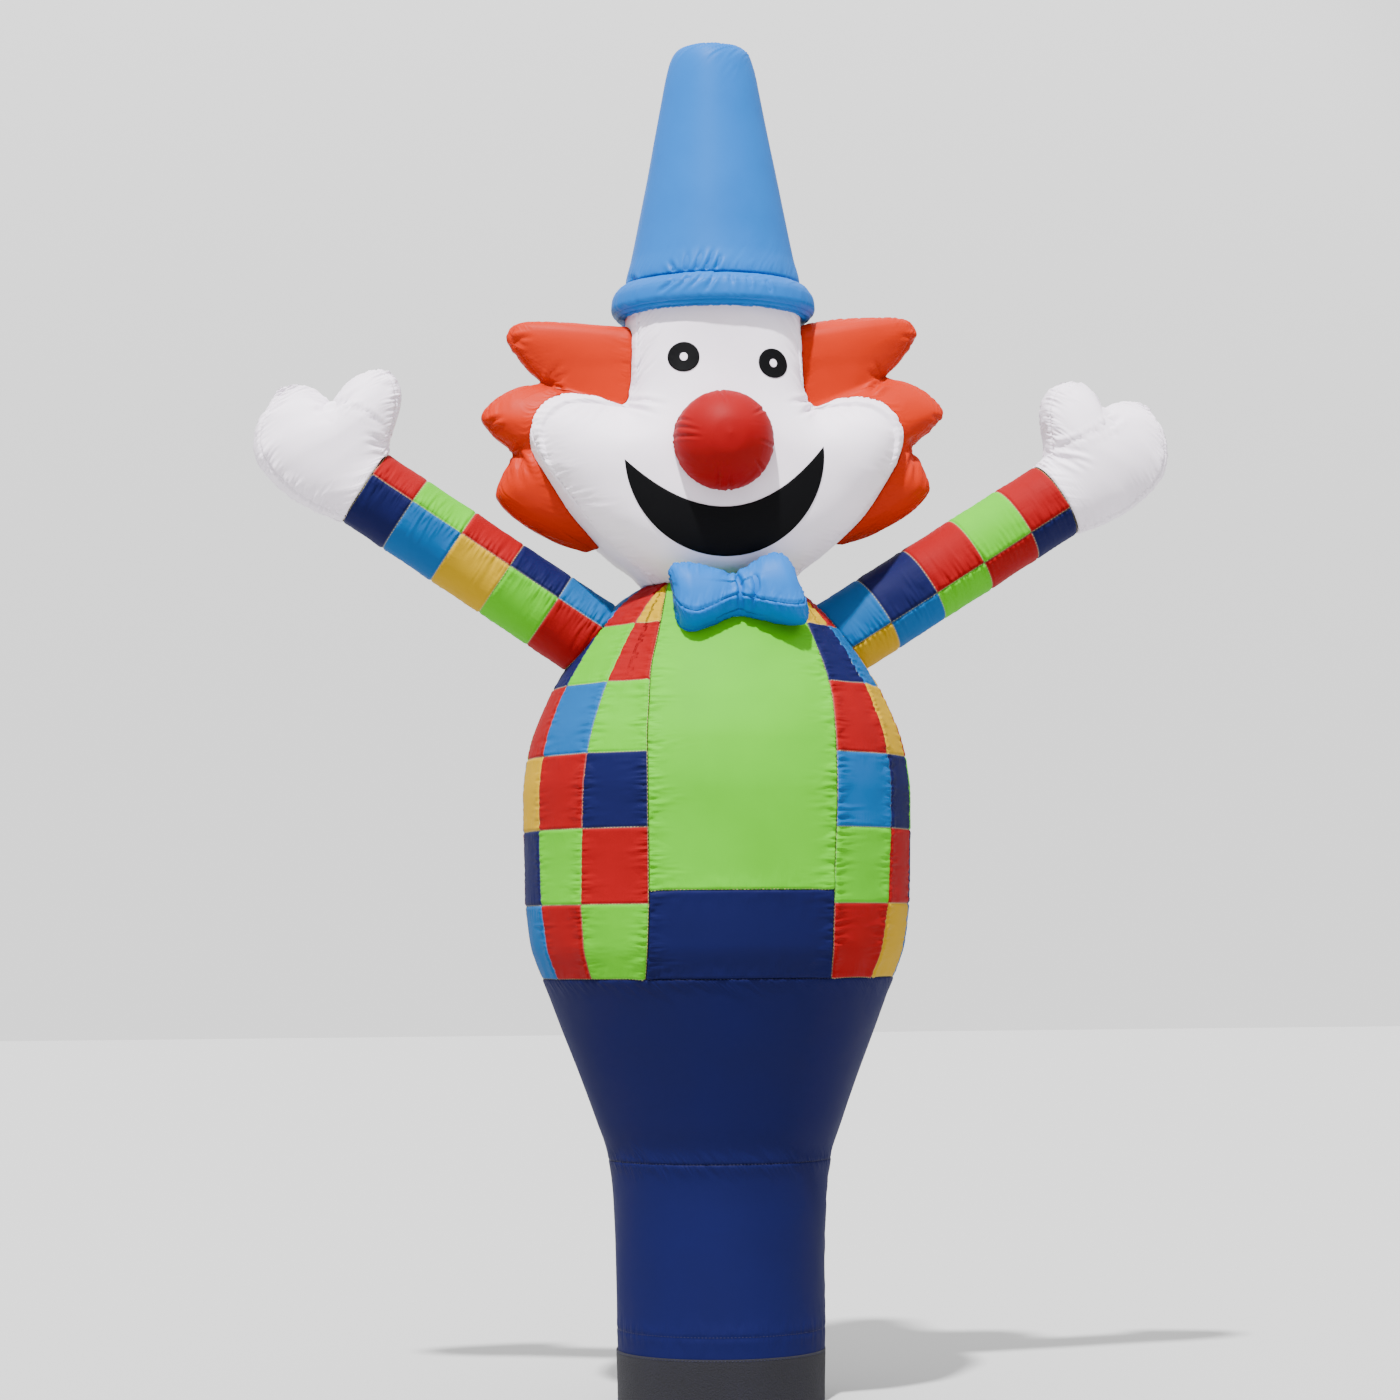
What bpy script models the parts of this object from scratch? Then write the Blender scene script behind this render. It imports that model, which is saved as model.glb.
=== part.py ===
"""Inflatable clown air dancer, standing inflated on its bottom hem.

Metres, +Z up, front towards -Y, origin in the middle of the bottom hem.
Every panel is a thin skin, open where air passes from one part to the next.
"""

import math

import bmesh
import bpy
from mathutils import Matrix, Vector

COLLECTION = "inflatable_air_dancer"

# The way to each side, as seen from in front
TURN = {"left": -1, "right": 1}

# Cloth and seams
SKIN = 0.002
SEAM = 0.0006
SEAT = 0.0008
PATCH_SKIN = 0.0012
CLOTH_ROUGHNESS = 0.45
MERGE = 0.0001

# Round body: heights of the seams, and the number of facets round it
BODY_FACETS = 52
ENVELOPE_FACETS = 2 * BODY_FACETS
FRONT_FACETS = 8
SIDE_FACETS = (BODY_FACETS - FRONT_FACETS) // 2
HEM_Z = 0.0
BAND_Z = (0.002, 0.115)
TROUSER_SEAM_Z = 0.534
WAIST_SEAM_Z = 0.936
BELLY_SEAM_Z = 1.126
NECK_SEAM_Z = 1.800
MIN_ROW = 0.004

# Radius of the inflated body by height
BODY_PROFILE = (
    # z, radius
    (0.000, 0.2280),
    (0.012, 0.2280),
    (0.120, 0.2305),
    (0.300, 0.2325),
    (0.440, 0.2375),
    (0.534, 0.2470),
    (0.620, 0.2750),
    (0.720, 0.3110),
    (0.830, 0.3530),
    (0.936, 0.3920),
    (1.010, 0.4190),
    (1.126, 0.4310),
    (1.230, 0.4335),
    (1.340, 0.4345),
    (1.450, 0.4190),
    (1.540, 0.3870),
    (1.605, 0.3530),
    (1.670, 0.3110),
    (1.730, 0.2640),
    (1.775, 0.2220),
    (1.800, 0.1850),
)

# Seams beside the front panels: distance from the middle, seen from in front
FRONT_EDGES = (
    # z, left, right
    (0.936, 0.199, 0.203),
    (1.126, 0.196, 0.205),
    (1.340, 0.197, 0.214),
    (1.450, 0.196, 0.215),
    (1.540, 0.188, 0.214),
    (1.605, 0.180, 0.205),
    (1.670, 0.163, 0.189),
    (1.730, 0.146, 0.172),
    (1.775, 0.134, 0.163),
    (1.800, 0.125, 0.142),
)
EDGE_COLUMN = {"left": 1, "right": 2}

# Arms: the axis runs from the shoulder to the cuff, in the plane y = 0
SHOULDER = Vector((0.2915, 0.0, 1.704))
CUFF = Vector((0.7865, 0.0, 2.0265))
CUFF_LIFT = {"left": 0.008, "right": -0.008}
SHOULDER_RADIUS = 0.0920
CUFF_RADIUS = 0.0900
ARM_INSIDE = 0.13
ARM_HOLE_RADIUS = 0.082
ARM_FACETS = 24
ARM_ROWS = 4

# Mitt, in arm coordinates: u along the arm from the cuff, v towards the thumb
HAND_RINGS = (
    # middle u, v; thumb u, v; finger u, v; half depth; arch
    ((0.0006, 0.000), (0.0006, 0.0900), (0.0006, -0.0900), 0.0900, 0.000),
    ((0.040, 0.008), (0.028, 0.1055), (0.062, -0.1060), 0.0920, 0.000),
    ((0.080, 0.027), (0.045, 0.1500), (0.122, -0.1110), 0.0960, 0.002),
    ((0.112, 0.048), (0.061, 0.1950), (0.180, -0.1040), 0.0960, 0.005),
    ((0.138, 0.068), (0.083, 0.2200), (0.228, -0.0885), 0.0880, 0.009),
    ((0.158, 0.086), (0.104, 0.2300), (0.264, -0.0630), 0.0720, 0.014),
    ((0.172, 0.100), (0.124, 0.2300), (0.285, -0.0230), 0.0480, 0.018),
    ((0.182, 0.112), (0.142, 0.2235), (0.293, 0.0400), 0.0000, 0.022),
)
HAND_FACETS = 20

# Head: each ring has its middle and its side height, half width, half depth and squareness
HEAD_RINGS = (
    # middle z, side z, half width, half depth, power
    (1.8006, 1.8006, 0.1850, 0.1850, 2.00),
    (1.824, 1.840, 0.196, 0.206, 2.10),
    (1.856, 1.876, 0.236, 0.226, 2.25),
    (1.905, 1.927, 0.291, 0.242, 2.40),
    (1.955, 1.974, 0.338, 0.250, 2.50),
    (2.020, 2.044, 0.386, 0.254, 2.50),
    (2.085, 2.112, 0.421, 0.254, 2.50),
    (2.130, 2.160, 0.430, 0.250, 2.50),
    (2.162, 2.200, 0.417, 0.243, 2.50),
    (2.186, 2.227, 0.388, 0.235, 2.45),
    (2.205, 2.238, 0.340, 0.228, 2.40),
    (2.220, 2.231, 0.276, 0.221, 2.30),
    (2.236, 2.212, 0.214, 0.214, 2.15),
    (2.262, 2.244, 0.199, 0.206, 2.05),
    (2.310, 2.310, 0.198, 0.200, 2.00),
    (2.4938, 2.4938, 0.1985, 0.1985, 2.00),
)
HEAD_FACETS = 40
FACE_SEAM_DEG = 27.0
FACE_SEAM_GAP_DEG = 0.22

# Features sewn to the face: middle x, z, half sizes, and the points of each outline
FACE_FRONT_Y = -0.240
PATCH_REACH = 0.12
MOUTH = (-0.006, 2.089)
MOUTH_HALF_WIDTH = 0.2215
MOUTH_DROPS = (0.122, 0.229)
MOUTH_TILT_DEG = 4.2
MOUTH_POINTS = 16
EYES = {"left": (-0.0905, 2.307), "right": (0.1105, 2.296)}
EYE_HALF = (0.0345, 0.0340)
EYE_POINTS = 20
PUPIL_HALF = (0.0085, 0.0095)
PUPIL_POINTS = 12
NOSE = (-0.011, 2.112)
NOSE_RADIUS = 0.1100
NOSE_PROFILE = (
    # distance in front of the face's flat, share of the radius
    (0.136, 0.00),
    (0.131, 0.30),
    (0.112, 0.61),
    (0.082, 0.84),
    (0.044, 0.975),
    (0.008, 1.00),
    (-0.040, 0.93),
)
NOSE_FACETS = 24

# Hair: each row runs out from the head to the edge of the three spikes
HAIR_ROWS = (
    # edge x, z; root x, z; half depth
    ((0.210, 2.406), (0.150, 2.400), 0.014),
    ((0.300, 2.420), (0.150, 2.392), 0.046),
    ((0.410, 2.424), (0.150, 2.380), 0.062),
    ((0.450, 2.414), (0.150, 2.366), 0.070),
    ((0.4640, 2.388), (0.150, 2.346), 0.074),
    ((0.440, 2.346), (0.150, 2.322), 0.076),
    ((0.415, 2.314), (0.155, 2.292), 0.074),
    ((0.388, 2.287), (0.170, 2.250), 0.070),
    ((0.438, 2.275), (0.250, 2.215), 0.080),
    ((0.490, 2.247), (0.330, 2.190), 0.085),
    ((0.5215, 2.206), (0.360, 2.165), 0.085),
    ((0.496, 2.168), (0.375, 2.143), 0.080),
    ((0.4505, 2.122), (0.380, 2.120), 0.070),
    ((0.474, 2.077), (0.372, 2.082), 0.078),
    ((0.489, 2.032), (0.348, 2.046), 0.082),
    ((0.468, 1.998), (0.320, 2.012), 0.080),
    ((0.413, 1.956), (0.292, 1.975), 0.070),
    ((0.346, 1.922), (0.262, 1.940), 0.050),
    ((0.284, 1.903), (0.230, 1.912), 0.014),
)
HAIR_STEPS = 3
HAIR_SHIFT = {"left": (0.005, -0.011), "right": (0.005, 0.011)}

# Bow tie, a pillow drawn in at its middle, in front of the neck
BOW_RINGS = (
    # top x, z; bottom x, z; half depth
    ((-0.134, 1.820), (-0.118, 1.724), 0.016),
    ((-0.121, 1.837), (-0.107, 1.700), 0.044),
    ((-0.095, 1.839), (-0.083, 1.689), 0.056),
    ((-0.055, 1.832), (-0.040, 1.703), 0.055),
    ((-0.020, 1.822), (-0.008, 1.719), 0.046),
    ((0.006, 1.812), (0.020, 1.727), 0.038),
    ((0.035, 1.831), (0.055, 1.720), 0.047),
    ((0.070, 1.853), (0.095, 1.711), 0.056),
    ((0.103, 1.862), (0.136, 1.705), 0.056),
    ((0.128, 1.848), (0.163, 1.709), 0.044),
    ((0.139, 1.826), (0.173, 1.733), 0.016),
)
BOW_Y = -0.268
BOW_FACETS = 16
BOW_POWER = 2.6

# Hat
HAT_FACETS = 36
BRIM_PROFILE = (
    # z, radius: half a ring of air, open towards the forehead
    (2.4936, 0.1998),
    (2.4950, 0.2110),
    (2.4860, 0.2230),
    (2.4690, 0.2310),
    (2.4480, 0.2310),
    (2.4320, 0.2210),
    (2.4240, 0.2110),
    (2.4225, 0.2000),
)
CROWN_PROFILE = (
    # z, radius
    (3.0220, 0.0930),
    (2.9700, 0.1055),
    (2.8400, 0.1300),
    (2.5600, 0.1905),
    (2.4985, 0.2025),
    (2.4944, 0.1990),
)
TOP_PROFILE = (
    # z, radius
    (3.0500, 0.0000),
    (3.0470, 0.0520),
    (3.0370, 0.0820),
    (3.0280, 0.0925),
    (3.0226, 0.0928),
)


def collection(name):
    """A new collection of the scene."""
    found = bpy.data.collections.new(name)
    bpy.context.scene.collection.children.link(found)
    return found


def material(name, rgb, roughness):
    """A cloth finish: one colour, no metal."""
    made = bpy.data.materials.new(name)
    made.use_nodes = True
    shader = made.node_tree.nodes["Principled BSDF"]
    shader.inputs["Base Color"].default_value = (*rgb, 1.0)
    shader.inputs["Roughness"].default_value = roughness
    shader.inputs["Metallic"].default_value = 0.0
    return made


def add_object(name, mesh, group, finish=None):
    """A new object for a mesh, in a collection and with its finish."""
    made = bpy.data.objects.new(name, mesh)
    group.objects.link(made)
    if finish is not None:
        mesh.materials.append(finish)
    return made


def mark_cutter(made):
    """Marks a shape that only cuts others, and isn't a piece of the figure."""
    made.hide_render = True
    made.display_type = "WIRE"
    return made


def bridge(name, rings, group, finish=None, around=True, caps=(False, False)):
    """A skin through rings of points, which all have the same number of points."""
    work = bmesh.new()
    rows = [[work.verts.new(point) for point in ring] for ring in rings]
    count = len(rows[0])
    spans = count if around else count - 1
    for low, high in zip(rows, rows[1:]):
        for i in range(spans):
            j = (i + 1) % count
            work.faces.new((low[i], low[j], high[j], high[i]))
    if caps[0]:
        work.faces.new(tuple(reversed(rows[0])))
    if caps[1]:
        work.faces.new(tuple(rows[-1]))
    bmesh.ops.remove_doubles(work, verts=work.verts, dist=MERGE)
    bmesh.ops.triangulate(work, faces=work.faces, quad_method="FIXED")
    mesh = bpy.data.meshes.new(name)
    work.to_mesh(mesh)
    work.free()
    mesh.shade_smooth()
    return add_object(name, mesh, group, finish)


def thicken(made, thickness=SKIN, offset=-1.0):
    """Gives a skin its thickness; -1 grows it inwards and 1 outwards."""
    solid = made.modifiers.new("Skin", "SOLIDIFY")
    solid.thickness = thickness
    solid.offset = offset
    return solid


def grow(made, distance):
    """Moves a surface outwards along its normals."""
    push = made.modifiers.new("Grow", "DISPLACE")
    push.direction = "NORMAL"
    push.mid_level = 0.0
    push.strength = distance
    return push


def cut(made, cutter, operation="DIFFERENCE"):
    """Cuts a piece by another shape, or keeps only what both share."""
    tool = made.modifiers.new("Cut", "BOOLEAN")
    tool.operation = operation
    tool.solver = "EXACT"
    tool.object = cutter
    return tool


def turned(name, profile, facets, group, finish=None, angle=360.0, start=0.0):
    """Turns a profile of (z, radius), given from top to bottom, about the Z axis."""
    work = bmesh.new()
    points = [work.verts.new((radius, 0.0, z)) for z, radius in profile]
    for upper, lower in zip(points, points[1:]):
        work.edges.new((upper, lower))
    bmesh.ops.rotate(
        work, verts=work.verts, matrix=Matrix.Rotation(math.radians(start), 3, "Z")
    )
    mesh = bpy.data.meshes.new(name)
    work.to_mesh(mesh)
    work.free()
    made = add_object(name, mesh, group, finish)
    screw = made.modifiers.new("Turn", "SCREW")
    screw.angle = math.radians(angle)
    screw.steps = facets
    screw.render_steps = facets
    screw.use_merge_vertices = True
    screw.merge_threshold = MERGE
    return made


def read_table(table, z, column):
    """A column's value at a height, between the rows of a table that starts with z."""
    for low, high in zip(table, table[1:]):
        if z <= high[0]:
            share = (z - low[0]) / (high[0] - low[0])
            return low[column] + share * (high[column] - low[column])
    return table[-1][column]


def radius_at(z):
    """The body's radius at a height."""
    return read_table(BODY_PROFILE, z, 1)


def front_edge_deg(side, z):
    """The angle round the body of the seam beside the front panels."""
    away = read_table(FRONT_EDGES, z, EDGE_COLUMN[side])
    return -90.0 + TURN[side] * math.degrees(math.asin(away / radius_at(z)))


def body_rows(low, high):
    """The body's profile between two heights, from top to bottom."""
    inner = [(z, r) for z, r in BODY_PROFILE if low + MIN_ROW < z < high - MIN_ROW]
    rows = [(low, radius_at(low)), *inner, (high, radius_at(high))]
    return rows[::-1]


def signed_power(value, power):
    """Squares a sine or a cosine: 2 gives an oval, and more a boxier one."""
    return math.copysign(abs(value) ** (2.0 / power), value)


def ring(middle, plus, minus, depth, power, angles, arch=0.0):
    """Points round a section whose two ends are given, with depth along Y.

    middle, plus and minus are (x, z); arch bends the way from middle to each end.
    """
    points = []
    for angle in angles:
        across = signed_power(math.cos(angle), power)
        end = plus if across > 0 else minus
        share = abs(across)
        bow = 4.0 * arch * share * (1.0 - share)
        run = Vector((end[0] - middle[0], end[1] - middle[1]))
        turn = 1.0 if across > 0 else -1.0
        side = Vector((-run[1], run[0])).normalized() * turn if run.length else run
        x = middle[0] + run[0] * share + side[0] * bow
        z = middle[1] + run[1] * share + side[1] * bow
        y = depth * signed_power(math.sin(angle), power)
        points.append(Vector((x, y, z)))
    return points


def even_angles(count, start=0.0, sweep=360.0, closed=True):
    """Angles in radians, evenly spread from start, both in degrees."""
    steps = count if closed else count - 1
    return [math.radians(start + sweep * i / steps) for i in range(count)]


def span_angles(first, last, count, trim):
    """The corners of a facetted round from first to last, with its two ends trimmed."""
    angles = even_angles(count + 1, first, last - first, closed=False)
    angles[0] += math.radians(trim)
    angles[-1] -= math.radians(trim)
    return angles


def head_rings(angles):
    """The head's sections from the neck up, each at the same angles."""
    return [
        ring((0.0, middle), (half, side), (-half, side), depth, power, angles)
        for middle, side, half, depth, power in HEAD_RINGS
    ]


def head_envelope(name, distance, group):
    """The head as a filled solid, a little larger than it is."""
    rings = head_rings(even_angles(HEAD_FACETS))
    made = bridge(name, rings, group, caps=(True, True))
    grow(made, distance)
    return mark_cutter(made)


def body_envelope(name, distance, group):
    """The body from the hem to the neck as a filled solid, a little larger than it is."""
    closed = [(NECK_SEAM_Z, 0.0), *body_rows(HEM_Z, NECK_SEAM_Z), (HEM_Z, 0.0)]
    made = turned(name, closed, ENVELOPE_FACETS, group)
    grow(made, distance)
    return mark_cutter(made)


def build_lower_body(group, finishes):
    """The two rings of cloth below the waist seam."""
    parts = (
        ("base_sleeve", HEM_Z, TROUSER_SEAM_Z - SEAM / 2, "navy"),
        ("trousers", TROUSER_SEAM_Z + SEAM / 2, WAIST_SEAM_Z - SEAM / 2, "navy"),
    )
    for name, low, high, colour in parts:
        made = turned(name, body_rows(low, high), BODY_FACETS, group, finishes[colour])
        thicken(made)


def build_closure_band(group, finishes):
    """The tape round the foot, a seam's gap outside it."""
    low, high = BAND_Z
    gap = SKIN + SEAM
    profile = [(high, radius_at(high) + gap), (low, radius_at(low) + gap)]
    made = turned("closure_band", profile, BODY_FACETS, group, finishes["charcoal"])
    thicken(made)


def panel(name, low, high, seams, facets, group, finish):
    """A panel of the round body, half a seam's gap short of its two side seams.

    seams gives the angles of both at a height.
    """
    rings = []
    for z, radius in reversed(body_rows(low, high)):
        first, last = seams(z)
        trim = math.degrees(SEAM / 2 / radius)
        angles = even_angles(
            facets + 1, first + trim, last - first - 2 * trim, closed=False
        )
        rings.append(
            [(radius * math.cos(a), radius * math.sin(a), z) for a in angles]
        )
    made = bridge(name, rings, group, finish, around=False)
    thicken(made)
    return made


def build_upper_body(group, cutters, finishes):
    """The two front panels, and the patchwork of each side up to the back seam."""

    def front(z):
        return front_edge_deg("left", z), front_edge_deg("right", z)

    def right(z):
        return front_edge_deg("right", z), 90.0

    def left(z):
        return 90.0, 360.0 + front_edge_deg("left", z)

    waist = (WAIST_SEAM_Z + SEAM / 2, BELLY_SEAM_Z - SEAM / 2)
    belly = (BELLY_SEAM_Z + SEAM / 2, NECK_SEAM_Z)
    navy = finishes["navy"]
    lime = finishes["lime"]
    panel("waist_panel", *waist, front, FRONT_FACETS, group, navy)
    panel("belly_panel", *belly, front, FRONT_FACETS, group, lime)
    for side, seams in (("left", left), ("right", right)):
        made = panel(
            "patchwork_" + side,
            WAIST_SEAM_Z + SEAM / 2,
            NECK_SEAM_Z,
            seams,
            SIDE_FACETS,
            group,
            finishes["red"],
        )
        cut(made, arm_hole(side, cutters))


def arm_ends(side):
    """The shoulder and the cuff on one side; the two arms aren't raised alike."""
    turn = TURN[side]
    shoulder = Vector((turn * SHOULDER.x, 0.0, SHOULDER.z))
    cuff = Vector((turn * CUFF.x, 0.0, CUFF.z + CUFF_LIFT[side]))
    return shoulder, cuff


def arm_frame(side):
    """Turns local Z to the arm's axis, from the shoulder outwards."""
    shoulder, cuff = arm_ends(side)
    along = (cuff - shoulder).normalized()
    level = Vector((0.0, 1.0, 0.0))
    axes = Matrix((level.cross(along), level, along)).transposed()
    return Matrix.Translation(shoulder) @ axes.to_4x4(), (cuff - shoulder).length


def arm_hole(side, group):
    """A cutter for the hole through which air passes into an arm."""
    work = bmesh.new()
    bmesh.ops.create_cone(
        work,
        cap_ends=True,
        segments=ARM_FACETS,
        radius1=ARM_HOLE_RADIUS,
        radius2=ARM_HOLE_RADIUS,
        depth=2 * ARM_INSIDE,
    )
    mesh = bpy.data.meshes.new("hole_" + side)
    work.to_mesh(mesh)
    work.free()
    made = add_object("hole_" + side, mesh, group)
    made.matrix_world = arm_frame(side)[0]
    return mark_cutter(made)


def build_sleeve(side, group, body_shape, finishes):
    """An arm's tube, cut where it is sewn to the round body."""
    frame, length = arm_frame(side)
    top = length - SEAM / 2
    slope = (SHOULDER_RADIUS - CUFF_RADIUS) / length
    profile = []
    for i in range(ARM_ROWS + 1):
        along = top - (top + ARM_INSIDE) * i / ARM_ROWS
        profile.append((along, CUFF_RADIUS + slope * (length - along)))
    name = "sleeve_" + side
    made = turned(name, profile, ARM_FACETS, group, finishes["blue"])
    made.matrix_world = frame
    thicken(made)
    cut(made, body_shape)


def build_hand(side, group, finishes):
    """A mitt in rings from the cuff to the edge between thumb and fingers."""
    turn = TURN[side]
    shoulder, cuff = arm_ends(side)
    along = (cuff - shoulder).normalized()
    across = along.cross(Vector((0.0, turn, 0.0)))

    def place(point):
        spot = cuff + along * point[0] + across * point[1]
        return (spot.x, spot.z)

    angles = even_angles(HAND_FACETS)
    rings = []
    for middle, thumb, finger, depth, arch in HAND_RINGS:
        ends = (place(middle), place(thumb), place(finger))
        rings.append(ring(*ends, depth, 2.0, angles, -turn * arch))
    if turn < 0:
        rings = [points[::-1] for points in rings]
    made = bridge("hand_" + side, rings, group, finishes["white"])
    outwards(made)
    thicken(made)


def outwards(made):
    """Points the faces of an open skin away from its middle."""
    work = bmesh.new()
    work.from_mesh(made.data)
    bmesh.ops.recalc_face_normals(work, faces=work.faces)
    middle = sum((v.co for v in work.verts), Vector()) / len(work.verts)
    facing = sum((f.calc_center_median() - middle).dot(f.normal) for f in work.faces)
    if facing < 0:
        bmesh.ops.reverse_faces(work, faces=work.faces)
    work.to_mesh(made.data)
    work.free()


def build_head(group, finishes):
    """The face, the panel behind it, and the strips sewn between them at the sides."""
    parts = (
        ("face_panel", -180.0 + FACE_SEAM_DEG, -FACE_SEAM_DEG),
        ("head_side_right", -FACE_SEAM_DEG, FACE_SEAM_DEG),
        ("head_back", FACE_SEAM_DEG, 180.0 - FACE_SEAM_DEG),
        ("head_side_left", 180.0 - FACE_SEAM_DEG, 180.0 + FACE_SEAM_DEG),
    )
    for name, first, last in parts:
        count = round(HEAD_FACETS * (last - first) / 360)
        angles = span_angles(first, last, count, FACE_SEAM_GAP_DEG / 2)
        made = bridge(name, head_rings(angles), group, finishes["white"], around=False)
        outwards(made)
        thicken(made)


def prism(name, outline, depth, group):
    """A flat outline of (x, z) pulled along Y to both sides of the face's front."""
    rings = [
        [Vector((x, FACE_FRONT_Y + y, z)) for x, z in outline] for y in (-depth, depth)
    ]
    work = bmesh.new()
    rows = [[work.verts.new(point) for point in points] for points in rings]
    work.faces.new(rows[0])
    work.faces.new(rows[1][::-1])
    count = len(outline)
    for i in range(count):
        j = (i + 1) % count
        work.faces.new((rows[0][i], rows[0][j], rows[1][j], rows[1][i]))
    bmesh.ops.recalc_face_normals(work, faces=work.faces)
    mesh = bpy.data.meshes.new(name)
    work.to_mesh(mesh)
    work.free()
    return mark_cutter(add_object(name, mesh, group))


def oval(middle, half, count):
    """Points (x, z) round an oval."""
    return [
        (middle[0] + half[0] * math.cos(a), middle[1] + half[1] * math.sin(a))
        for a in even_angles(count)
    ]


def crescent(count):
    """The mouth: the band between two half ovals that share their tips."""
    tilt = math.radians(MOUTH_TILT_DEG)
    points = []
    upper, lower = MOUTH_DROPS
    lower_run = [(i, lower) for i in range(count + 1)]
    upper_run = [(count - i, upper) for i in range(1, count)]
    for i, drop in lower_run + upper_run:
        angle = math.pi * i / count
        x = -MOUTH_HALF_WIDTH * math.cos(angle)
        z = -drop * math.sin(angle)
        points.append(
            (
                MOUTH[0] + x * math.cos(tilt) - z * math.sin(tilt),
                MOUTH[1] + x * math.sin(tilt) + z * math.cos(tilt),
            )
        )
    return points


def face_patch(name, outline, lift, group, cutters, finish):
    """A flat sewn-on shape that follows the face: a thin layer of it, cut to an outline."""
    angles = even_angles(HEAD_FACETS // 2 + 1, -180.0, 180.0, closed=False)
    made = bridge(name, head_rings(angles), group, finish, around=False)
    outwards(made)
    grow(made, lift)
    thicken(made, PATCH_SKIN, 1.0)
    shape = prism("outline_" + name, outline, PATCH_REACH, cutters)
    cut(made, shape, "INTERSECT")


def build_face_details(group, cutters, finishes):
    """The mouth and the eyes on the face, and a pupil on each eye."""
    mouth = crescent(MOUTH_POINTS)
    face_patch("mouth", mouth, SEAM, group, cutters, finishes["black"])
    for side, spot in EYES.items():
        eye = oval(spot, EYE_HALF, EYE_POINTS)
        pupil = oval(spot, PUPIL_HALF, PUPIL_POINTS)
        face_patch("eye_" + side, eye, SEAM, group, cutters, finishes["black"])
        above = 2 * SEAM + PATCH_SKIN
        face_patch("pupil_" + side, pupil, above, group, cutters, finishes["white"])


def build_nose(group, head_shape, finishes):
    """A ball with its back open, where it is sewn to the face."""
    profile = [(along, share * NOSE_RADIUS) for along, share in NOSE_PROFILE]
    made = turned("nose", profile, NOSE_FACETS, group, finishes["red"])
    forward = Matrix.Rotation(math.radians(90.0), 4, "X")
    made.matrix_world = Matrix.Translation((NOSE[0], FACE_FRONT_Y, NOSE[1])) @ forward
    thicken(made)
    cut(made, head_shape)


def build_hair(side, group, head_shape, finishes):
    """Three spikes of one skin, open where it is sewn to the side of the head."""
    turn = TURN[side]
    shift = Vector((HAIR_SHIFT[side][0], 0.0, HAIR_SHIFT[side][1]))
    rings = []
    last = 2 * HAIR_STEPS
    for edge, root, depth in HAIR_ROWS:
        points = []
        for i in range(last + 1):
            angle = math.pi * i / last
            share = math.sin(angle)
            x = root[0] + (edge[0] - root[0]) * share
            z = root[1] + (edge[1] - root[1]) * share
            spot = Vector((turn * x, depth * math.cos(angle), z))
            points.append(spot + shift * share)
        rings.append(points)
    name = "hair_" + side
    made = bridge(name, rings, group, finishes["orange"], around=False)
    outwards(made)
    thicken(made)
    cut(made, head_shape)


def build_bow_tie(group, head_shape, body_shape, finishes):
    """A pillow that is cut where it lies against the chin and the belly."""
    angles = even_angles(BOW_FACETS)
    rings = []
    for top, bottom, depth in BOW_RINGS:
        middle = ((top[0] + bottom[0]) / 2, (top[1] + bottom[1]) / 2)
        points = ring(middle, top, bottom, depth, BOW_POWER, angles)
        rings.append([p + Vector((0.0, BOW_Y, 0.0)) for p in points])
    made = bridge("bow_tie", rings, group, finishes["hat_blue"], caps=(True, True))
    outwards(made)
    thicken(made)
    cut(made, body_shape)
    cut(made, head_shape)


def build_hat(group, finishes):
    """The ring-shaped brim, the cone and its flat top."""
    parts = (
        ("hat_brim", BRIM_PROFILE),
        ("hat_crown", CROWN_PROFILE),
        ("hat_top", TOP_PROFILE),
    )
    for name, profile in parts:
        made = turned(name, profile, HAT_FACETS, group, finishes["hat_blue"])
        thicken(made)


def cloth_finishes():
    """One finish for each colour of cloth."""
    colours = {
        "navy": (0.009, 0.015, 0.095),
        "lime": (0.28, 0.66, 0.11),
        "red": (0.62, 0.012, 0.012),
        "blue": (0.045, 0.23, 0.54),
        "white": (0.82, 0.79, 0.89),
        "orange": (0.86, 0.075, 0.012),
        "hat_blue": (0.035, 0.27, 0.78),
        "black": (0.006, 0.006, 0.007),
        "charcoal": (0.02, 0.02, 0.025),
    }
    return {name: material(name, rgb, CLOTH_ROUGHNESS) for name, rgb in colours.items()}


def main():
    """Clears the scene and builds every piece."""
    for old in list(bpy.data.objects):
        bpy.data.objects.remove(old)
    parts = collection(COLLECTION)
    cutters = collection("cutters")
    finishes = cloth_finishes()
    body_shape = body_envelope("body_shape", SEAT, cutters)
    head_shape = head_envelope("head_shape", SEAT, cutters)
    build_lower_body(parts, finishes)
    build_closure_band(parts, finishes)
    build_upper_body(parts, cutters, finishes)
    build_head(parts, finishes)
    build_face_details(parts, cutters, finishes)
    build_nose(parts, head_shape, finishes)
    build_bow_tie(parts, head_shape, body_shape, finishes)
    build_hat(parts, finishes)
    for side in TURN:
        build_sleeve(side, parts, body_shape, finishes)
        build_hand(side, parts, finishes)
        build_hair(side, parts, head_shape, finishes)


main()
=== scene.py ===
"""Inflatable clown air dancer: its sewn nylon panels, and a plain studio round it.

Metres, +Z up, front towards -Y. Left and right are the sides as seen from in front.
"""

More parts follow.
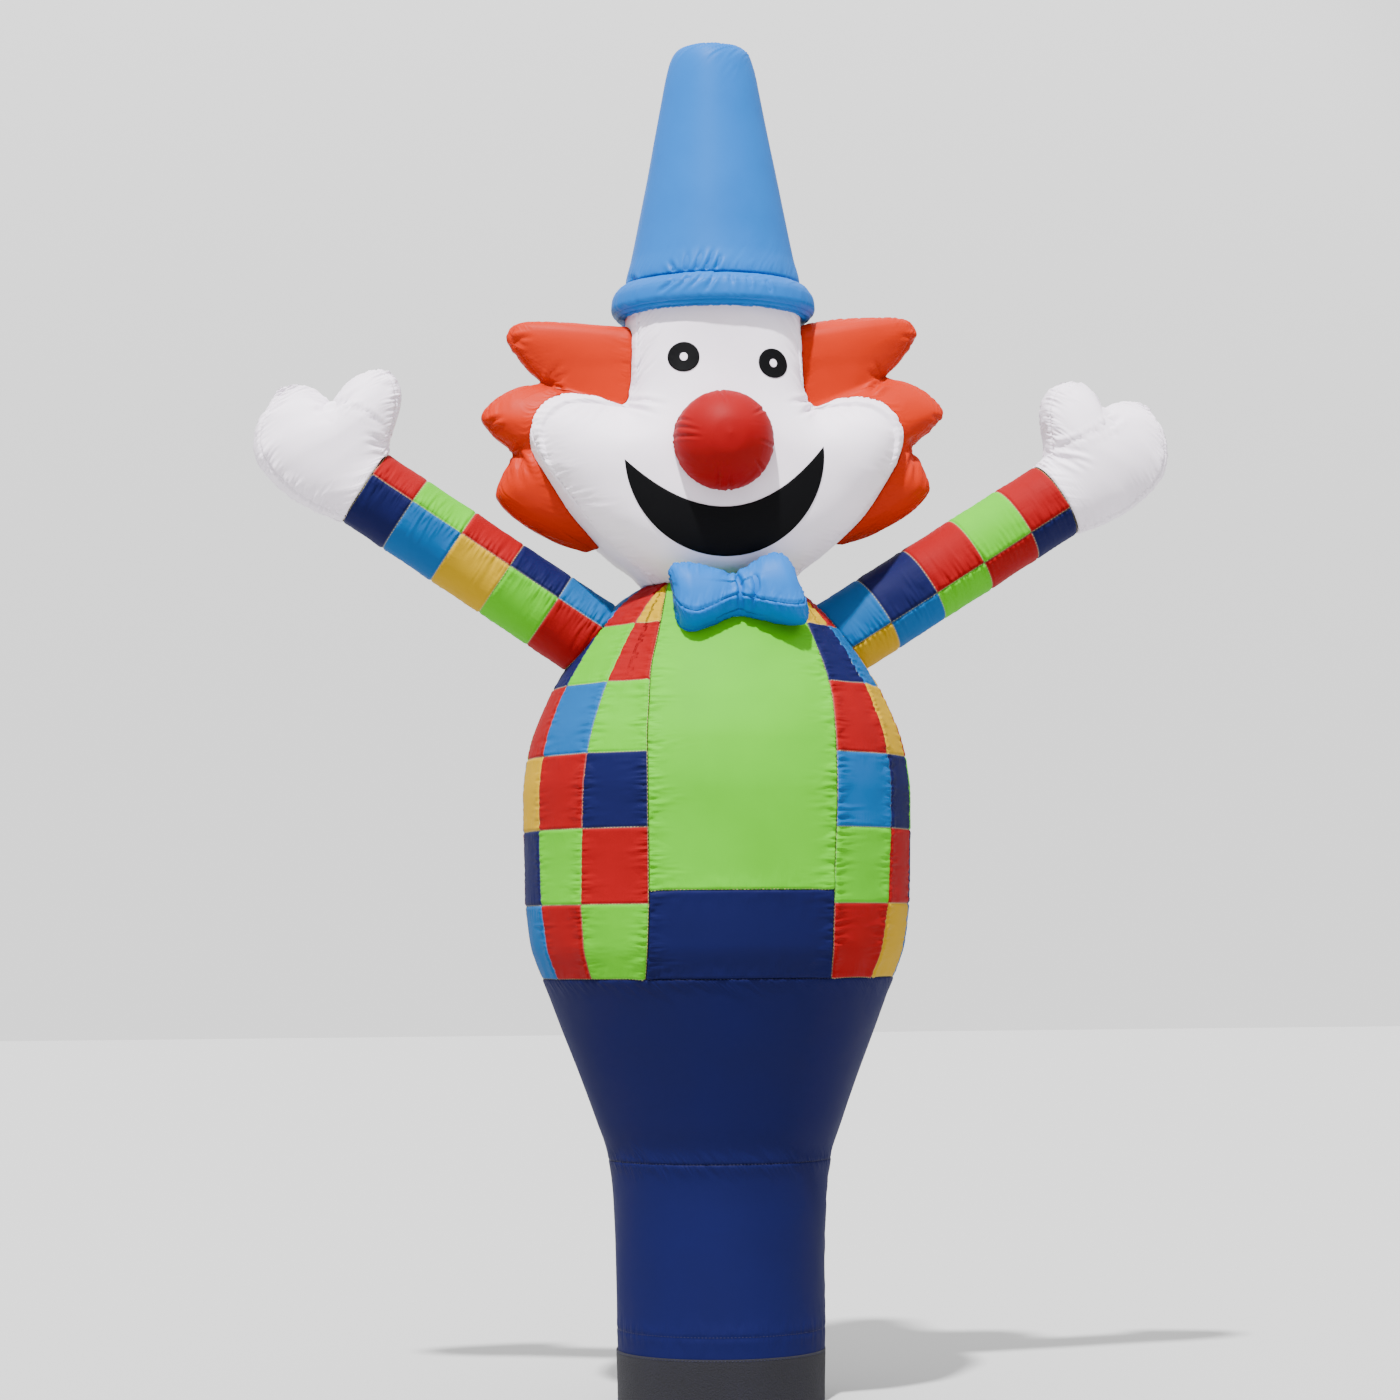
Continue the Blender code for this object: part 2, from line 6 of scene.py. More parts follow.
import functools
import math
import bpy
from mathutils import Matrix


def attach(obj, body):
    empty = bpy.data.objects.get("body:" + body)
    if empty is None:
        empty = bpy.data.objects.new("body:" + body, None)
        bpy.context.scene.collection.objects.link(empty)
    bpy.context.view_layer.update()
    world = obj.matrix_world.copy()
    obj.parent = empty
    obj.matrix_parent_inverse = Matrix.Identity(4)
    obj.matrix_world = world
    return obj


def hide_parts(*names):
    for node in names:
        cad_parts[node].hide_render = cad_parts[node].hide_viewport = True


bl_info = {
    "name": "Clown air dancer",
    "version": (1, 0, 0),
    "blender": (4, 5, 0),
    "location": "View3D > Sidebar > Air dancer",
    "description": "Dresses the frame of an inflatable clown figure in sewn nylon",
    "category": "Object",
}

import bmesh
import bpy
import numpy as np
from bpy.props import FloatProperty, FloatVectorProperty, PointerProperty
from bpy.types import Operator, Panel, PropertyGroup
from mathutils import Matrix, Vector
from mathutils.bvhtree import BVHTree

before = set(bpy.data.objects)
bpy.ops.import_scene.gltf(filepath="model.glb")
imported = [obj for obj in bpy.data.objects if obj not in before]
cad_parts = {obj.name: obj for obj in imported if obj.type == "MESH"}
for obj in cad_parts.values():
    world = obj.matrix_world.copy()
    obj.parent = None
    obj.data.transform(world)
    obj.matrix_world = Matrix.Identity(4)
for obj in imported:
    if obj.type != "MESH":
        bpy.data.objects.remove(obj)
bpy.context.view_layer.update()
BODY = "root"
TURN = {"left": -1, "right": 1}
# A distance from a seam that is farther than any puckers run
FAR = 9.0
# Each seam's pattern starts this far along from the last one's, so that no two are alike
OWN_RUN = 7.3
# The inside of the cloth keeps one row and one column in so many
INNER_STEP = 4
# Points closer than this are one
MERGE = 5e-6
# A round panel that has nearly the area of an oval is cut as one
DISC_SHARE = 0.9
# Panels that meet in a seam end this far from it: by height, and by angle in degrees
SEAM_GAP = 1e-4
SEAM_GAP_DEG = 0.015
HEAD_GAP_DEG = 0.05
# How far a piece that is sewn on another stays outside it
CLEAR = {"sleeve": 0.0006, "nose": 0.0012, "hair": 0.0008, "bow_tie": 0.0026}
# A seam's groove is this wide, and its stitches lie this far over the cloth
GROOVE_WIDTH = 0.003
STITCH_LIFT = 0.0003
# Between the seams the cloth wanders from its shape about this far apart
WANDER_M = 2 / 9
# A crease is a fold with a ridge on each side: where the ridges are, in widths of the
# fold, and how high, as a share of its depth
RIDGE_AWAY = 1.9
RIDGE_SHARE = 0.45
# It begins before its deep end, rises quickly, and dies out slowly past its shallow
# end: in shares of its length, where it begins or ends, and how long it takes
CREASE_RISE = (-0.25, 0.3)
CREASE_FALL = (1.15, 0.9)
# How many rows at a fold or a pole the creases leave alone
CREASE_MARGIN = 4
# the grids' steps from row to row, and how much closer the rows lie at the seams, where 0 is
# evenly spread; in metres, and for the nose in shares of its length
ROW_STEPS = {
    "ring": (0.012, 0.75),
    "band": (0.010, 0.75),
    "front": (0.0028, 0.0),
    "patchwork": (0.0030, 0.0),
    "hand": (0.0034, 0.25),
    "nose": (1 / 56, 0.35),
    "hair": (0.0034, 0.1),
    "bow_tie": (0.0026, 0.4),
}
# the same from column to column, in degrees, or in shares of the way from seam to seam
COLUMN_STEPS = {
    "front": (1 / 60, 0.8),
    "patchwork": (1 / 15, 0.85),
    "sleeve": (90 / 16, 0.8),
    "hand": (2.8, 0.4),
    "hair": (1 / 68, 0.5),
    "bow_tie": (5.0, 0.6),
}
# how much closer the columns of the head and the rows of the hat lie at their seams
HEAD_PINCH = 0.75
HAT_PINCH = 0.6

# Round body. Angles round it are from the front, positive to the right.
BODY_PROFILE = (
    # z, radius
    (0.000, 0.2280),
    (0.012, 0.2280),
    (0.120, 0.2305),
    (0.300, 0.2325),
    (0.440, 0.2375),
    (0.534, 0.2470),
    (0.620, 0.2750),
    (0.720, 0.3110),
    (0.830, 0.3530),
    (0.936, 0.3920),
    (1.010, 0.4190),
    (1.126, 0.4310),
    (1.230, 0.4335),
    (1.340, 0.4345),
    (1.450, 0.4190),
    (1.540, 0.3870),
    (1.605, 0.3530),
    (1.670, 0.3110),
    (1.730, 0.2640),
    (1.775, 0.2220),
    (1.800, 0.1850),
    (1.812, 0.1630),
)
FRONT_EDGES = (
    # z, distance from the middle to the left and right seam of the front panels
    (0.936, 0.199, 0.203),
    (1.126, 0.196, 0.205),
    (1.340, 0.197, 0.214),
    (1.450, 0.196, 0.215),
    (1.540, 0.188, 0.214),
    (1.605, 0.180, 0.205),
    (1.670, 0.163, 0.189),
    (1.730, 0.146, 0.172),
    (1.775, 0.134, 0.163),
    (1.800, 0.125, 0.142),
    (1.812, 0.117, 0.128),
)
# The hem stands on the floor, which its puckers reach
HEM_FOOT_Z = 0.0022
HEM_SEAM_Z = 0.162
BAND_Z = (0.002, 0.115)
BAND_GAP = 0.0006
TROUSER_SEAM_Z = 0.534
# The base sleeve's own seam, by its angle from the front
BASE_SEAM_DEG = 84.0
WAIST_SEAM_Z = 0.936
BELLY_SEAM_Z = 1.126
NECK_SEAM_Z = 1.812
# How strongly the seams between the columns gather the cloth: most beside the front
PATCH_PULLS = (1.0, 1.0, 0.6, 0.2, 0.3, 0.3, 0.3, 0.3)
PATCH_ROWS_Z = (0.936, 1.098, 1.262, 1.425, 1.582, 1.715, 1.812)
COLUMN_SEAMS = {
    # angles from the front: the first leans, from its foot to its top; the rest don't
    "left": ((-51.5, -45.8), (-71.0, -92.8, -114.6, -136.4, -158.2, -180.0)),
    "right": ((51.4, 57.6), (73.0, 94.4, 115.8, 137.2, 158.6, 180.0)),
}
# Patch colours from the foot to the neck, column by column from the front to the back
PATCHES = {
    "left": (
        ("lime", "red", "navy", "lime", "red", "gold"),
        ("red", "lime", "red", "blue", "lime", "red"),
        ("blue", "navy", "gold", "red", "navy", "blue"),
        ("gold", "red", "blue", "lime", "gold", "red"),
        ("navy", "lime", "red", "navy", "red", "lime"),
        ("red", "blue", "lime", "gold", "blue", "navy"),
        ("lime", "gold", "navy", "red", "lime", "red"),
    ),
    "right": (
        ("red", "lime", "blue", "red", "navy", "gold"),
        ("gold", "red", "navy", "gold", "blue", "red"),
        ("blue", "navy", "lime", "red", "gold", "blue"),
        ("red", "gold", "red", "blue", "lime", "navy"),
        ("lime", "blue", "navy", "lime", "red", "gold"),
        ("navy", "red", "gold", "navy", "blue", "red"),
        ("blue", "lime", "red", "blue", "gold", "lime"),
    ),
}

# Arms, from the shoulder to the cuff in the plane y = 0
SHOULDER = (0.2915, 1.704)
CUFF = (0.7865, 2.0265)
CUFF_LIFT = {"left": 0.008, "right": -0.008}
SHOULDER_RADIUS = 0.0920
CUFF_RADIUS = 0.0900
# Seams round the arm, by their distance from the cuff, and along it, by their angle
RING_SEAMS = {
    "left": (0.107, 0.236, 0.365, 0.494),
    "right": (0.108, 0.237, 0.366, 0.492),
}
SLEEVE_SEAMS_DEG = {
    "left": (15.6, 114.0, 177.0, 240.0, 375.6),
    "right": (-20.0, 114.0, 177.0, 240.0, 340.0),
}
# The sleeve's first ring begins just inside the cuff, and its tube runs on into the body
CUFF_INSET = 0.0005
SLEEVE_BEYOND = 0.12
SLEEVE_STEP = 0.003
# Strips of the sleeve from the one above the front seam, each from the cuff inwards
SLEEVE_PATCHES = {
    "left": (
        ("red", "lime", "red", "navy", "blue"),
        ("gold", "navy", "blue", "red", "lime"),
        ("lime", "red", "navy", "gold", "red"),
        ("navy", "blue", "gold", "lime", "red"),
    ),
    "right": (
        ("red", "lime", "red", "navy", "blue"),
        ("blue", "navy", "gold", "lime", "red"),
        ("lime", "gold", "red", "blue", "navy"),
        ("navy", "red", "lime", "blue", "gold"),
    ),
}

# Mitt, in arm coordinates: u along the arm from the cuff, v towards the thumb
HAND_RINGS = {
    # middle u, v; thumb u, v; finger u, v; half depth; arch
    "left": (
        (0.0006, 0.000, 0.0006, 0.090, 0.0006, -0.090, 0.090, 0.000),
        (0.040, 0.008, 0.014, 0.118, 0.062, -0.106, 0.092, 0.000),
        (0.080, 0.027, 0.025, 0.162, 0.122, -0.111, 0.096, 0.002),
        (0.110, 0.047, 0.039, 0.202, 0.180, -0.104, 0.096, 0.005),
        (0.134, 0.067, 0.058, 0.230, 0.228, -0.0885, 0.088, 0.009),
        (0.144, 0.082, 0.078, 0.242, 0.258, -0.060, 0.072, 0.015),
        (0.151, 0.094, 0.098, 0.245, 0.279, -0.005, 0.048, 0.021),
        (0.156, 0.104, 0.115, 0.2385, 0.278, 0.083, 0.000, 0.028),
    ),
    "right": (
        (0.0006, 0.000, 0.0006, 0.090, 0.0006, -0.090, 0.090, 0.000),
        (0.042, 0.005, 0.034, 0.096, 0.062, -0.106, 0.092, 0.000),
        (0.088, 0.022, 0.056, 0.128, 0.124, -0.112, 0.096, 0.002),
        (0.125, 0.043, 0.077, 0.176, 0.188, -0.106, 0.096, 0.004),
        (0.155, 0.064, 0.102, 0.208, 0.242, -0.088, 0.088, 0.008),
        (0.178, 0.083, 0.132, 0.220, 0.280, -0.050, 0.072, 0.011),
        (0.193, 0.100, 0.160, 0.216, 0.302, 0.005, 0.048, 0.015),
        (0.205, 0.115, 0.185, 0.202, 0.301, 0.068, 0.000, 0.018),
    ),
}
HAND_SEAM_DEG = 26.0
# 2 is an oval section, and more a boxier one
HAND_POWER = 2.15

HEAD_RINGS = (
    # middle z, side z, half width, half depth, squareness
    (1.8126, 1.8126, 0.163, 0.163, 2.00),
    (1.832, 1.846, 0.190, 0.202, 2.10),
    (1.858, 1.878, 0.234, 0.226, 2.25),
    (1.902, 1.927, 0.291, 0.242, 2.40),
    (1.948, 1.974, 0.338, 0.250, 2.50),
    (2.010, 2.044, 0.386, 0.254, 2.50),
    (2.062, 2.112, 0.421, 0.254, 2.50),
    (2.098, 2.160, 0.430, 0.2525, 2.50),
    (2.124, 2.200, 0.417, 0.2505, 2.50),
    (2.144, 2.230, 0.388, 0.2465, 2.50),
    (2.162, 2.245, 0.340, 0.242, 2.45),
    (2.176, 2.235, 0.276, 0.237, 2.40),
    (2.198, 2.210, 0.217, 0.232, 2.60),
    (2.224, 2.230, 0.1995, 0.220, 2.80),
    (2.262, 2.262, 0.1985, 0.208, 2.80),
    (2.310, 2.310, 0.198, 0.202, 2.70),
    (2.370, 2.370, 0.198, 0.199, 2.35),
    (2.415, 2.415, 0.1985, 0.1985, 2.00),
    (2.4938, 2.4938, 0.1985, 0.1985, 2.00),
)
# A ring keeps its middle's height over most of its width, and bends to its side's
HEAD_BEND = 4.0
# The seams beside the face and the back are drawn at this angle from the sides, and
# then moved to where they run at each height
FACE_SEAM_DEG = 27.0
FACE_SEAMS = (
    # middle z, angle
    (1.8126, 27.0),
    (1.960, 27.0),
    (2.062, 19.0),
    (2.144, 9.0),
    (2.190, 7.0),
    (2.240, 16.0),
    (2.300, 24.0),
    (2.4938, 27.0),
)
# Creases that stand out, to the millimetre: x and z of the deep end, then of the shallow one
CREASES = {
    "face_panel": (
        (-0.260, 2.196, -0.303, 2.140),
        (-0.284, 2.196, -0.325, 2.151),
        (-0.307, 2.196, -0.344, 2.166),
        (0.234, 2.197, 0.269, 2.161),
        (0.261, 2.206, 0.294, 2.171),
        (0.292, 2.208, 0.314, 2.182),
        (-0.202, 2.220, -0.131, 2.198),
        (-0.210, 2.208, -0.150, 2.170),
        (0.200, 2.224, 0.140, 2.206),
        (0.208, 2.208, 0.164, 2.175),
    ),
    "nose": (
        (-0.120, 2.138, -0.074, 2.119),
        (-0.118, 2.115, -0.071, 2.104),
        (-0.117, 2.158, -0.089, 2.141),
        (-0.021, 2.219, -0.016, 2.182),
        (-0.028, 2.006, -0.037, 2.055),
        (-0.002, 2.002, -0.009, 2.033),
        (0.080, 2.180, 0.040, 2.156),
        (0.096, 2.095, 0.056, 2.099),
        (0.070, 2.042, 0.040, 2.066),
    ),
    "hand_left seam": (
        (-0.854, 2.213, -0.816, 2.203),
        (-0.823, 2.205, -0.780, 2.189),
        (-0.787, 2.192, -0.746, 2.163),
    ),
    "hand_left": (
        (-0.864, 2.209, -0.907, 2.198),
        (-0.866, 2.213, -0.909, 2.227),
        (-0.873, 2.203, -0.902, 2.188),
        (-0.844, 2.217, -0.796, 2.248),
        (-0.840, 2.214, -0.799, 2.228),
        (-0.751, 2.132, -0.792, 2.146),
        (-0.751, 2.119, -0.789, 2.126),
    ),
    "hand_right seam": (
        (0.893, 2.182, 0.863, 2.166),
        (0.868, 2.168, 0.826, 2.149),
        (0.832, 2.151, 0.793, 2.143),
    ),
    "hand_right": (
        (0.890, 2.181, 0.927, 2.206),
        (0.896, 2.178, 0.938, 2.216),
        (0.893, 2.178, 0.904, 2.154),
        (0.785, 2.139, 0.848, 2.138),
        (0.785, 2.132, 0.854, 2.122),
        (0.785, 2.125, 0.856, 2.110),
        (0.787, 2.114, 0.853, 2.090),
        (0.787, 2.106, 0.836, 2.078),
    ),
    "bow_tie": (
        (0.012, 1.820, 0.018, 1.781),
        (0.018, 1.791, 0.016, 1.729),
        (0.050, 1.805, 0.052, 1.768),
        (0.052, 1.778, 0.036, 1.734),
        (0.012, 1.825, -0.014, 1.810),
    ),
    "hat_crown": (
        (-0.083, 2.507, -0.076, 2.549),
        (-0.059, 2.508, -0.044, 2.554),
        (-0.036, 2.508, -0.018, 2.552),
        (-0.016, 2.508, -0.003, 2.539),
        (-0.109, 2.507, -0.116, 2.532),
        (-0.181, 2.487, -0.194, 2.518),
    ),
    "hat_brim": (
        (-0.021, 2.488, -0.048, 2.444),
        (-0.050, 2.485, -0.077, 2.459),
        (-0.079, 2.482, -0.108, 2.454),
        (-0.115, 2.474, -0.146, 2.450),
        (0.013, 2.486, 0.015, 2.461),
        (0.053, 2.481, 0.057, 2.455),
        (0.097, 2.475, 0.106, 2.451),
    ),
}
HEAD_STEP = 0.0038
# How far up and down the head's outline is rounded
OUTLINE_EASE = 0.013
# Where the forehead runs out into the cheeks: heights between which it is eased, how
# far up and down and to the sides, the step and the width of the table that this is
# worked out on, how much it may change the half depth, and the least one, which holds
# the hair
BROW_Z = (2.030, 2.150, 2.330, 2.400)
BROW_EASE = (0.042, 0.012)
BROW_STEP = 0.003
BROW_ACROSS = 0.46
BROW_SHARES = (0.4, 1.6)
CHEEK_DEPTH = 0.112

MOUTH = (-0.006, 2.089)
MOUTH_HALF_WIDTH = 0.2215
MOUTH_DROPS = (0.122, 0.229)
MOUTH_TILT_DEG = 4.2
EYES = {"left": (-0.0905, 2.307), "right": (0.1105, 2.296)}
EYE_HALF = (0.0345, 0.0340)
PUPIL_HALF = (0.0085, 0.0095)
# Shapes sewn flat on the face: their skin, and how far in front of it they lie
FLAT_SKIN = 0.0012
FLAT_LIFT = 0.0016
PUPIL_LIFT = 0.0028
FACE_FRONT_Y = -0.240
NOSE = (-0.011, 2.112)
NOSE_RADIUS = 0.1100
NOSE_PROFILE = (
    # distance in front of the face's flat, share of the radius
    (0.136, 0.00),
    (0.131, 0.30),
    (0.112, 0.61),
    (0.082, 0.84),
    (0.044, 0.975),
    (0.008, 1.00),
    (-0.040, 0.93),
)

HAIR_ROWS = (
    # edge x, z; root x, z; half depth
    (0.210, 2.406, 0.150, 2.400, 0.014),
    (0.300, 2.420, 0.150, 2.392, 0.046),
    (0.410, 2.424, 0.150, 2.380, 0.062),
    (0.450, 2.414, 0.150, 2.366, 0.070),
    (0.4640, 2.388, 0.150, 2.346, 0.074),
    (0.440, 2.346, 0.150, 2.322, 0.076),
    (0.415, 2.314, 0.155, 2.292, 0.074),
    (0.388, 2.287, 0.160, 2.205, 0.074),
    (0.438, 2.275, 0.215, 2.185, 0.082),
    (0.490, 2.247, 0.320, 2.180, 0.085),
    (0.5215, 2.206, 0.360, 2.165, 0.085),
    (0.496, 2.168, 0.375, 2.143, 0.080),
    (0.4505, 2.122, 0.380, 2.120, 0.070),
    (0.474, 2.077, 0.372, 2.082, 0.078),
    (0.489, 2.032, 0.348, 2.046, 0.082),
    (0.468, 1.998, 0.320, 2.012, 0.080),
    (0.413, 1.956, 0.292, 1.975, 0.070),
    (0.346, 1.922, 0.262, 1.940, 0.050),
    (0.284, 1.903, 0.230, 1.912, 0.014),
)
HAIR_SHIFT = {"left": (0.005, -0.011), "right": (0.005, 0.011)}
HAIR_SEAM_DEG = 104.0
# Its creases on the left, with x away from the middle, and how far out and up they lie
HAIR_CREASES = (
    (0.381, 2.268, 0.354, 2.319),
    (0.374, 2.267, 0.337, 2.295),
    (0.371, 2.264, 0.344, 2.239),
    (0.357, 2.263, 0.339, 2.237),
    (0.446, 2.102, 0.440, 2.027),
    (0.439, 2.101, 0.419, 2.041),
    (0.456, 2.109, 0.432, 2.137),
    (0.510, 2.177, 0.483, 2.191),
    (0.503, 2.167, 0.476, 2.167),
    (0.452, 2.362, 0.425, 2.355),
    (0.452, 2.370, 0.418, 2.373),
)
HAIR_CREASE_SHIFT = {"left": (0.0, 0.0), "right": (0.010, 0.015)}

BOW_RINGS = (
    # top x, z; bottom x, z; half depth
    (-0.134, 1.820, -0.118, 1.724, 0.016),
    (-0.121, 1.837, -0.107, 1.700, 0.050),
    (-0.095, 1.839, -0.083, 1.689, 0.064),
    (-0.055, 1.832, -0.040, 1.703, 0.060),
    (-0.020, 1.822, -0.008, 1.719, 0.046),
    (0.006, 1.812, 0.020, 1.727, 0.036),
    (0.035, 1.831, 0.055, 1.720, 0.046),
    (0.070, 1.853, 0.095, 1.711, 0.060),
    (0.103, 1.862, 0.136, 1.705, 0.064),
    (0.128, 1.848, 0.163, 1.709, 0.050),
    (0.139, 1.826, 0.173, 1.733, 0.016),
)
BOW_Y = -0.268
BOW_POWER = 2.0
# Its seams, from the top round its back. The front panel ends where the tie is thickest,
# and the strip below it has the same height all along
BOW_SEAMS_DEG = (0.0, 38.0, 142.0, 180.0, 270.0, 352.0, 360.0)
BOW_STRIP = 0.042

BRIM_PROFILE = (
    # z, radius
    (2.4960, 0.1930),
    (2.4955, 0.2040),
    (2.4860, 0.2180),
    (2.4670, 0.2290),
    (2.4470, 0.2310),
    (2.4310, 0.2235),
    (2.4235, 0.2120),
    (2.4225, 0.2000),
)
CROWN_PROFILE = (
    # z, radius
    (3.0455, 0.0600),
    (3.0420, 0.0740),
    (3.0330, 0.0850),
    (3.0180, 0.0930),
    (3.0000, 0.0985),
    (2.9700, 0.1055),
    (2.8400, 0.1300),
    (2.5600, 0.1850),
    (2.5050, 0.1965),
    (2.4968, 0.1935),
)
TOP_PROFILE = (
    # z, radius
    (3.0500, 0.0000),
    (3.0495, 0.0300),
    (3.0480, 0.0480),
    (3.0459, 0.0590),
)

# Camera: distance and height in front of the figure, its tilt and turn, and how the
# figure sits in a square picture of 1400 by 1400
PICTURE = 1400
FOCAL_PX = 3468.0
SENSOR_MM = 36.0
CAMERA_AWAY = 7.8
CAMERA_Z = 1.02
CAMERA_SIDE = 0.0357
CAMERA_TILT_DEG = 3.96
CAMERA_TURN_DEG = -7.0
CAMERA_ROLL_DEG = 0.43
KEY_SPREAD_DEG = 2.5


def linear(hex_colour):
    """An sRGB hex colour as linear red, green and blue."""
    shares = [int(hex_colour[i : i + 2], 16) / 255 for i in (1, 3, 5)]
    return tuple(
        s / 12.92 if s <= 0.04045 else ((s + 0.055) / 1.055) ** 2.4 for s in shares
    )


def length_prop(name, default, description):
    """A length that a user may change, in metres."""
    return FloatProperty(
        name=name, default=default, description=description, min=0.0, unit="LENGTH"
    )


def colour_prop(name, hex_colour, description):
    """A cloth colour that a user may change."""
    return FloatVectorProperty(
        name=name,
        default=linear(hex_colour),
        description=description,
        min=0.0,
        max=1.0,
        subtype="COLOR",
    )


class AirDancerCloth(PropertyGroup):
    """Sizes and colours of the cloth and its sewing."""

    skin: length_prop("Skin", 0.002, "Thickness of the modelled cloth")
    depth: length_prop("Pucker depth", 0.0050, "Height of the puckers beside a seam")
    spacing: length_prop("Pucker spacing", 0.018, "Distance from pucker to pucker")
    reach: length_prop("Pucker length", 0.030, "How far the puckers run from a seam")
    groove: length_prop("Seam depth", 0.0018, "How deep a seam draws the cloth in")
    stitch_pitch: length_prop("Stitch pitch", 0.008, "Distance from stitch to stitch")
    stitch_length: length_prop("Stitch length", 0.0052, "Length of a stitch that shows")
    thread: length_prop("Thread radius", 0.0006, "Radius of the sewing thread")
    navy: colour_prop("Navy", "#0D103F", "Navy nylon")
    lime: colour_prop("Lime", "#4CA80A", "Lime nylon")
    red: colour_prop("Red", "#85040A", "Red nylon")
    blue: colour_prop("Blue", "#0A5089", "Blue nylon of the patches")
    gold: colour_prop("Gold", "#AA8607", "Gold nylon")
    white: colour_prop("White", "#EFE5F1", "White nylon")
    orange: colour_prop("Orange", "#AC2202", "Orange nylon")
    sky: colour_prop("Sky blue", "#0760AF", "Blue nylon of the hat and bow tie")
    black: colour_prop("Black", "#050507", "Black nylon of the eyes and mouth")
    charcoal: colour_prop("Charcoal", "#080716", "Closure tape")
    cream: colour_prop("Cream", "#B3AD61", "Thread of the patchwork")


class AirDancerStudio(PropertyGroup):
    """The studio's light."""

    key: FloatProperty(
        name="Key light",
        default=9.5,
        min=0.0,
        description="Strength of the soft light from the upper left",
    )
    fill: FloatProperty(
        name="Fill light",
        default=0.2,
        min=0.0,
        description="Strength of the even light from the sides",
    )
    back: FloatProperty(
        name="Back wall",
        default=1.3,
        min=0.0,
        description="Brightness of the wall behind the figure",
    )
    top: FloatProperty(
        name="Top light",
        default=2.4,
        min=0.0,
        description="Strength of the even light from above",
    )
    key_turn: FloatProperty(
        name="Key turn",
        default=math.radians(-22.0),
        subtype="ANGLE",
        description="Turn of the key light from the front",
    )
    key_height: FloatProperty(
        name="Key height",
        default=math.radians(62.0),
        subtype="ANGLE",
        description="Angle of the key light above the floor",
    )


# ---------------------------------------------------------------- curves and grids


def travel(points, axis=0):
    """The way along a row of points, from zero."""
    steps = np.linalg.norm(np.diff(points, axis=axis), axis=-1)
    start = np.zeros_like(np.take(steps, [0], axis=axis))
    return np.concatenate([start, np.cumsum(steps, axis=axis)], axis=axis)


def curve_through(knots, values, at):
    """A smooth curve through rows of values that doesn't swing past them."""
    knots, values = np.asarray(knots, float), np.asarray(values, float)
    flat = values.ndim == 1
    values = values[:, None] if flat else values
    slope = np.diff(values, axis=0) / np.diff(knots)[:, None]
    both = slope[:-1] + slope[1:]
    level = slope[:-1] * slope[1:] <= 0
    inner = 2 * slope[:-1] * slope[1:] / np.where(level, 1.0, both)
    tangent = np.vstack([slope[:1], np.where(level, 0.0, inner), slope[-1:]])
    at = np.atleast_1d(at)
    i = np.clip(np.searchsorted(knots, at, side="right") - 1, 0, len(knots) - 2)
    span = (knots[i + 1] - knots[i])[:, None]
    t = (at - knots[i])[:, None] / span
    found = (
        values[i] * (1 + 2 * t) * (1 - t) ** 2
        + values[i + 1] * t * t * (3 - 2 * t)
        + tangent[i] * span * t * (1 - t) ** 2
        + tangent[i + 1] * span * t * t * (t - 1)
    )
    return found[:, 0] if flat else found


def smooth(share):
    """A share held between 0 and 1, that starts and stops slowly."""
    share = np.clip(share, 0, 1)
    return share * share * (3 - 2 * share)


def stops(marks, step, pinch=0.0):
    """Values from mark to mark about a step apart, closer at the marks, and their places."""
    values, places = [marks[0]], [0]
    for low, high in zip(marks, marks[1:]):
        count = INNER_STEP * max(1, round(abs(high - low) / step / INNER_STEP))
        even = np.arange(1, count + 1) / count
        pinched = (1 - np.cos(np.pi * even)) / 2
        values.extend(low + (high - low) * ((1 - pinch) * even + pinch * pinched))
        places.append(len(values) - 1)
    return np.array(values), places


def profile_curve(profile, step, pinch=0.0, marks=()):
    """A turned profile of (z, radius) resampled, and the place of each marked row."""
    table = np.array(profile)
    way = travel(table)
    kept = sorted({0, *marks, len(profile) - 1})
    at, places = stops([way[i] for i in kept], step, pinch)
    return curve_through(way, table, at), dict(zip(kept, places))


def turned_grid(profile, angles):
    """A profile of (z, radius) turned about Z; angles are from the front."""
    z, radius = profile[:, 0][:, None], profile[:, 1][:, None]
    return np.stack(
        [
            radius * np.sin(angles)[None],
            -radius * np.cos(angles)[None],
            np.broadcast_to(z, (len(profile), len(angles))),
        ],
        axis=2,
    )


def squared(value, power):
    """Squares a sine or a cosine: 2 gives an oval, and more a boxier one."""
    return np.sign(value) * np.abs(value) ** (2.0 / power)


def section(middle, plus, minus, depth, power, angles, arch=0.0):
    """Points round a section between two ends (x, z), with its depth along Y."""
    across = squared(np.cos(angles), power)
    share = np.abs(across)
    turn = np.where(across > 0, 1.0, -1.0)
    run = np.where((across > 0)[:, None], plus - middle, minus - middle)
    length = np.maximum(np.linalg.norm(run, axis=1), 1e-9)
    side = np.stack([-run[:, 1], run[:, 0]], axis=1) * (turn / length)[:, None]
    bow = (4.0 * arch * share * (1.0 - share))[:, None]
    flat = middle + run * share[:, None] + side * bow
    y = depth * squared(np.sin(angles), power)
    return np.stack([flat[:, 0], y, flat[:, 1]], axis=1)


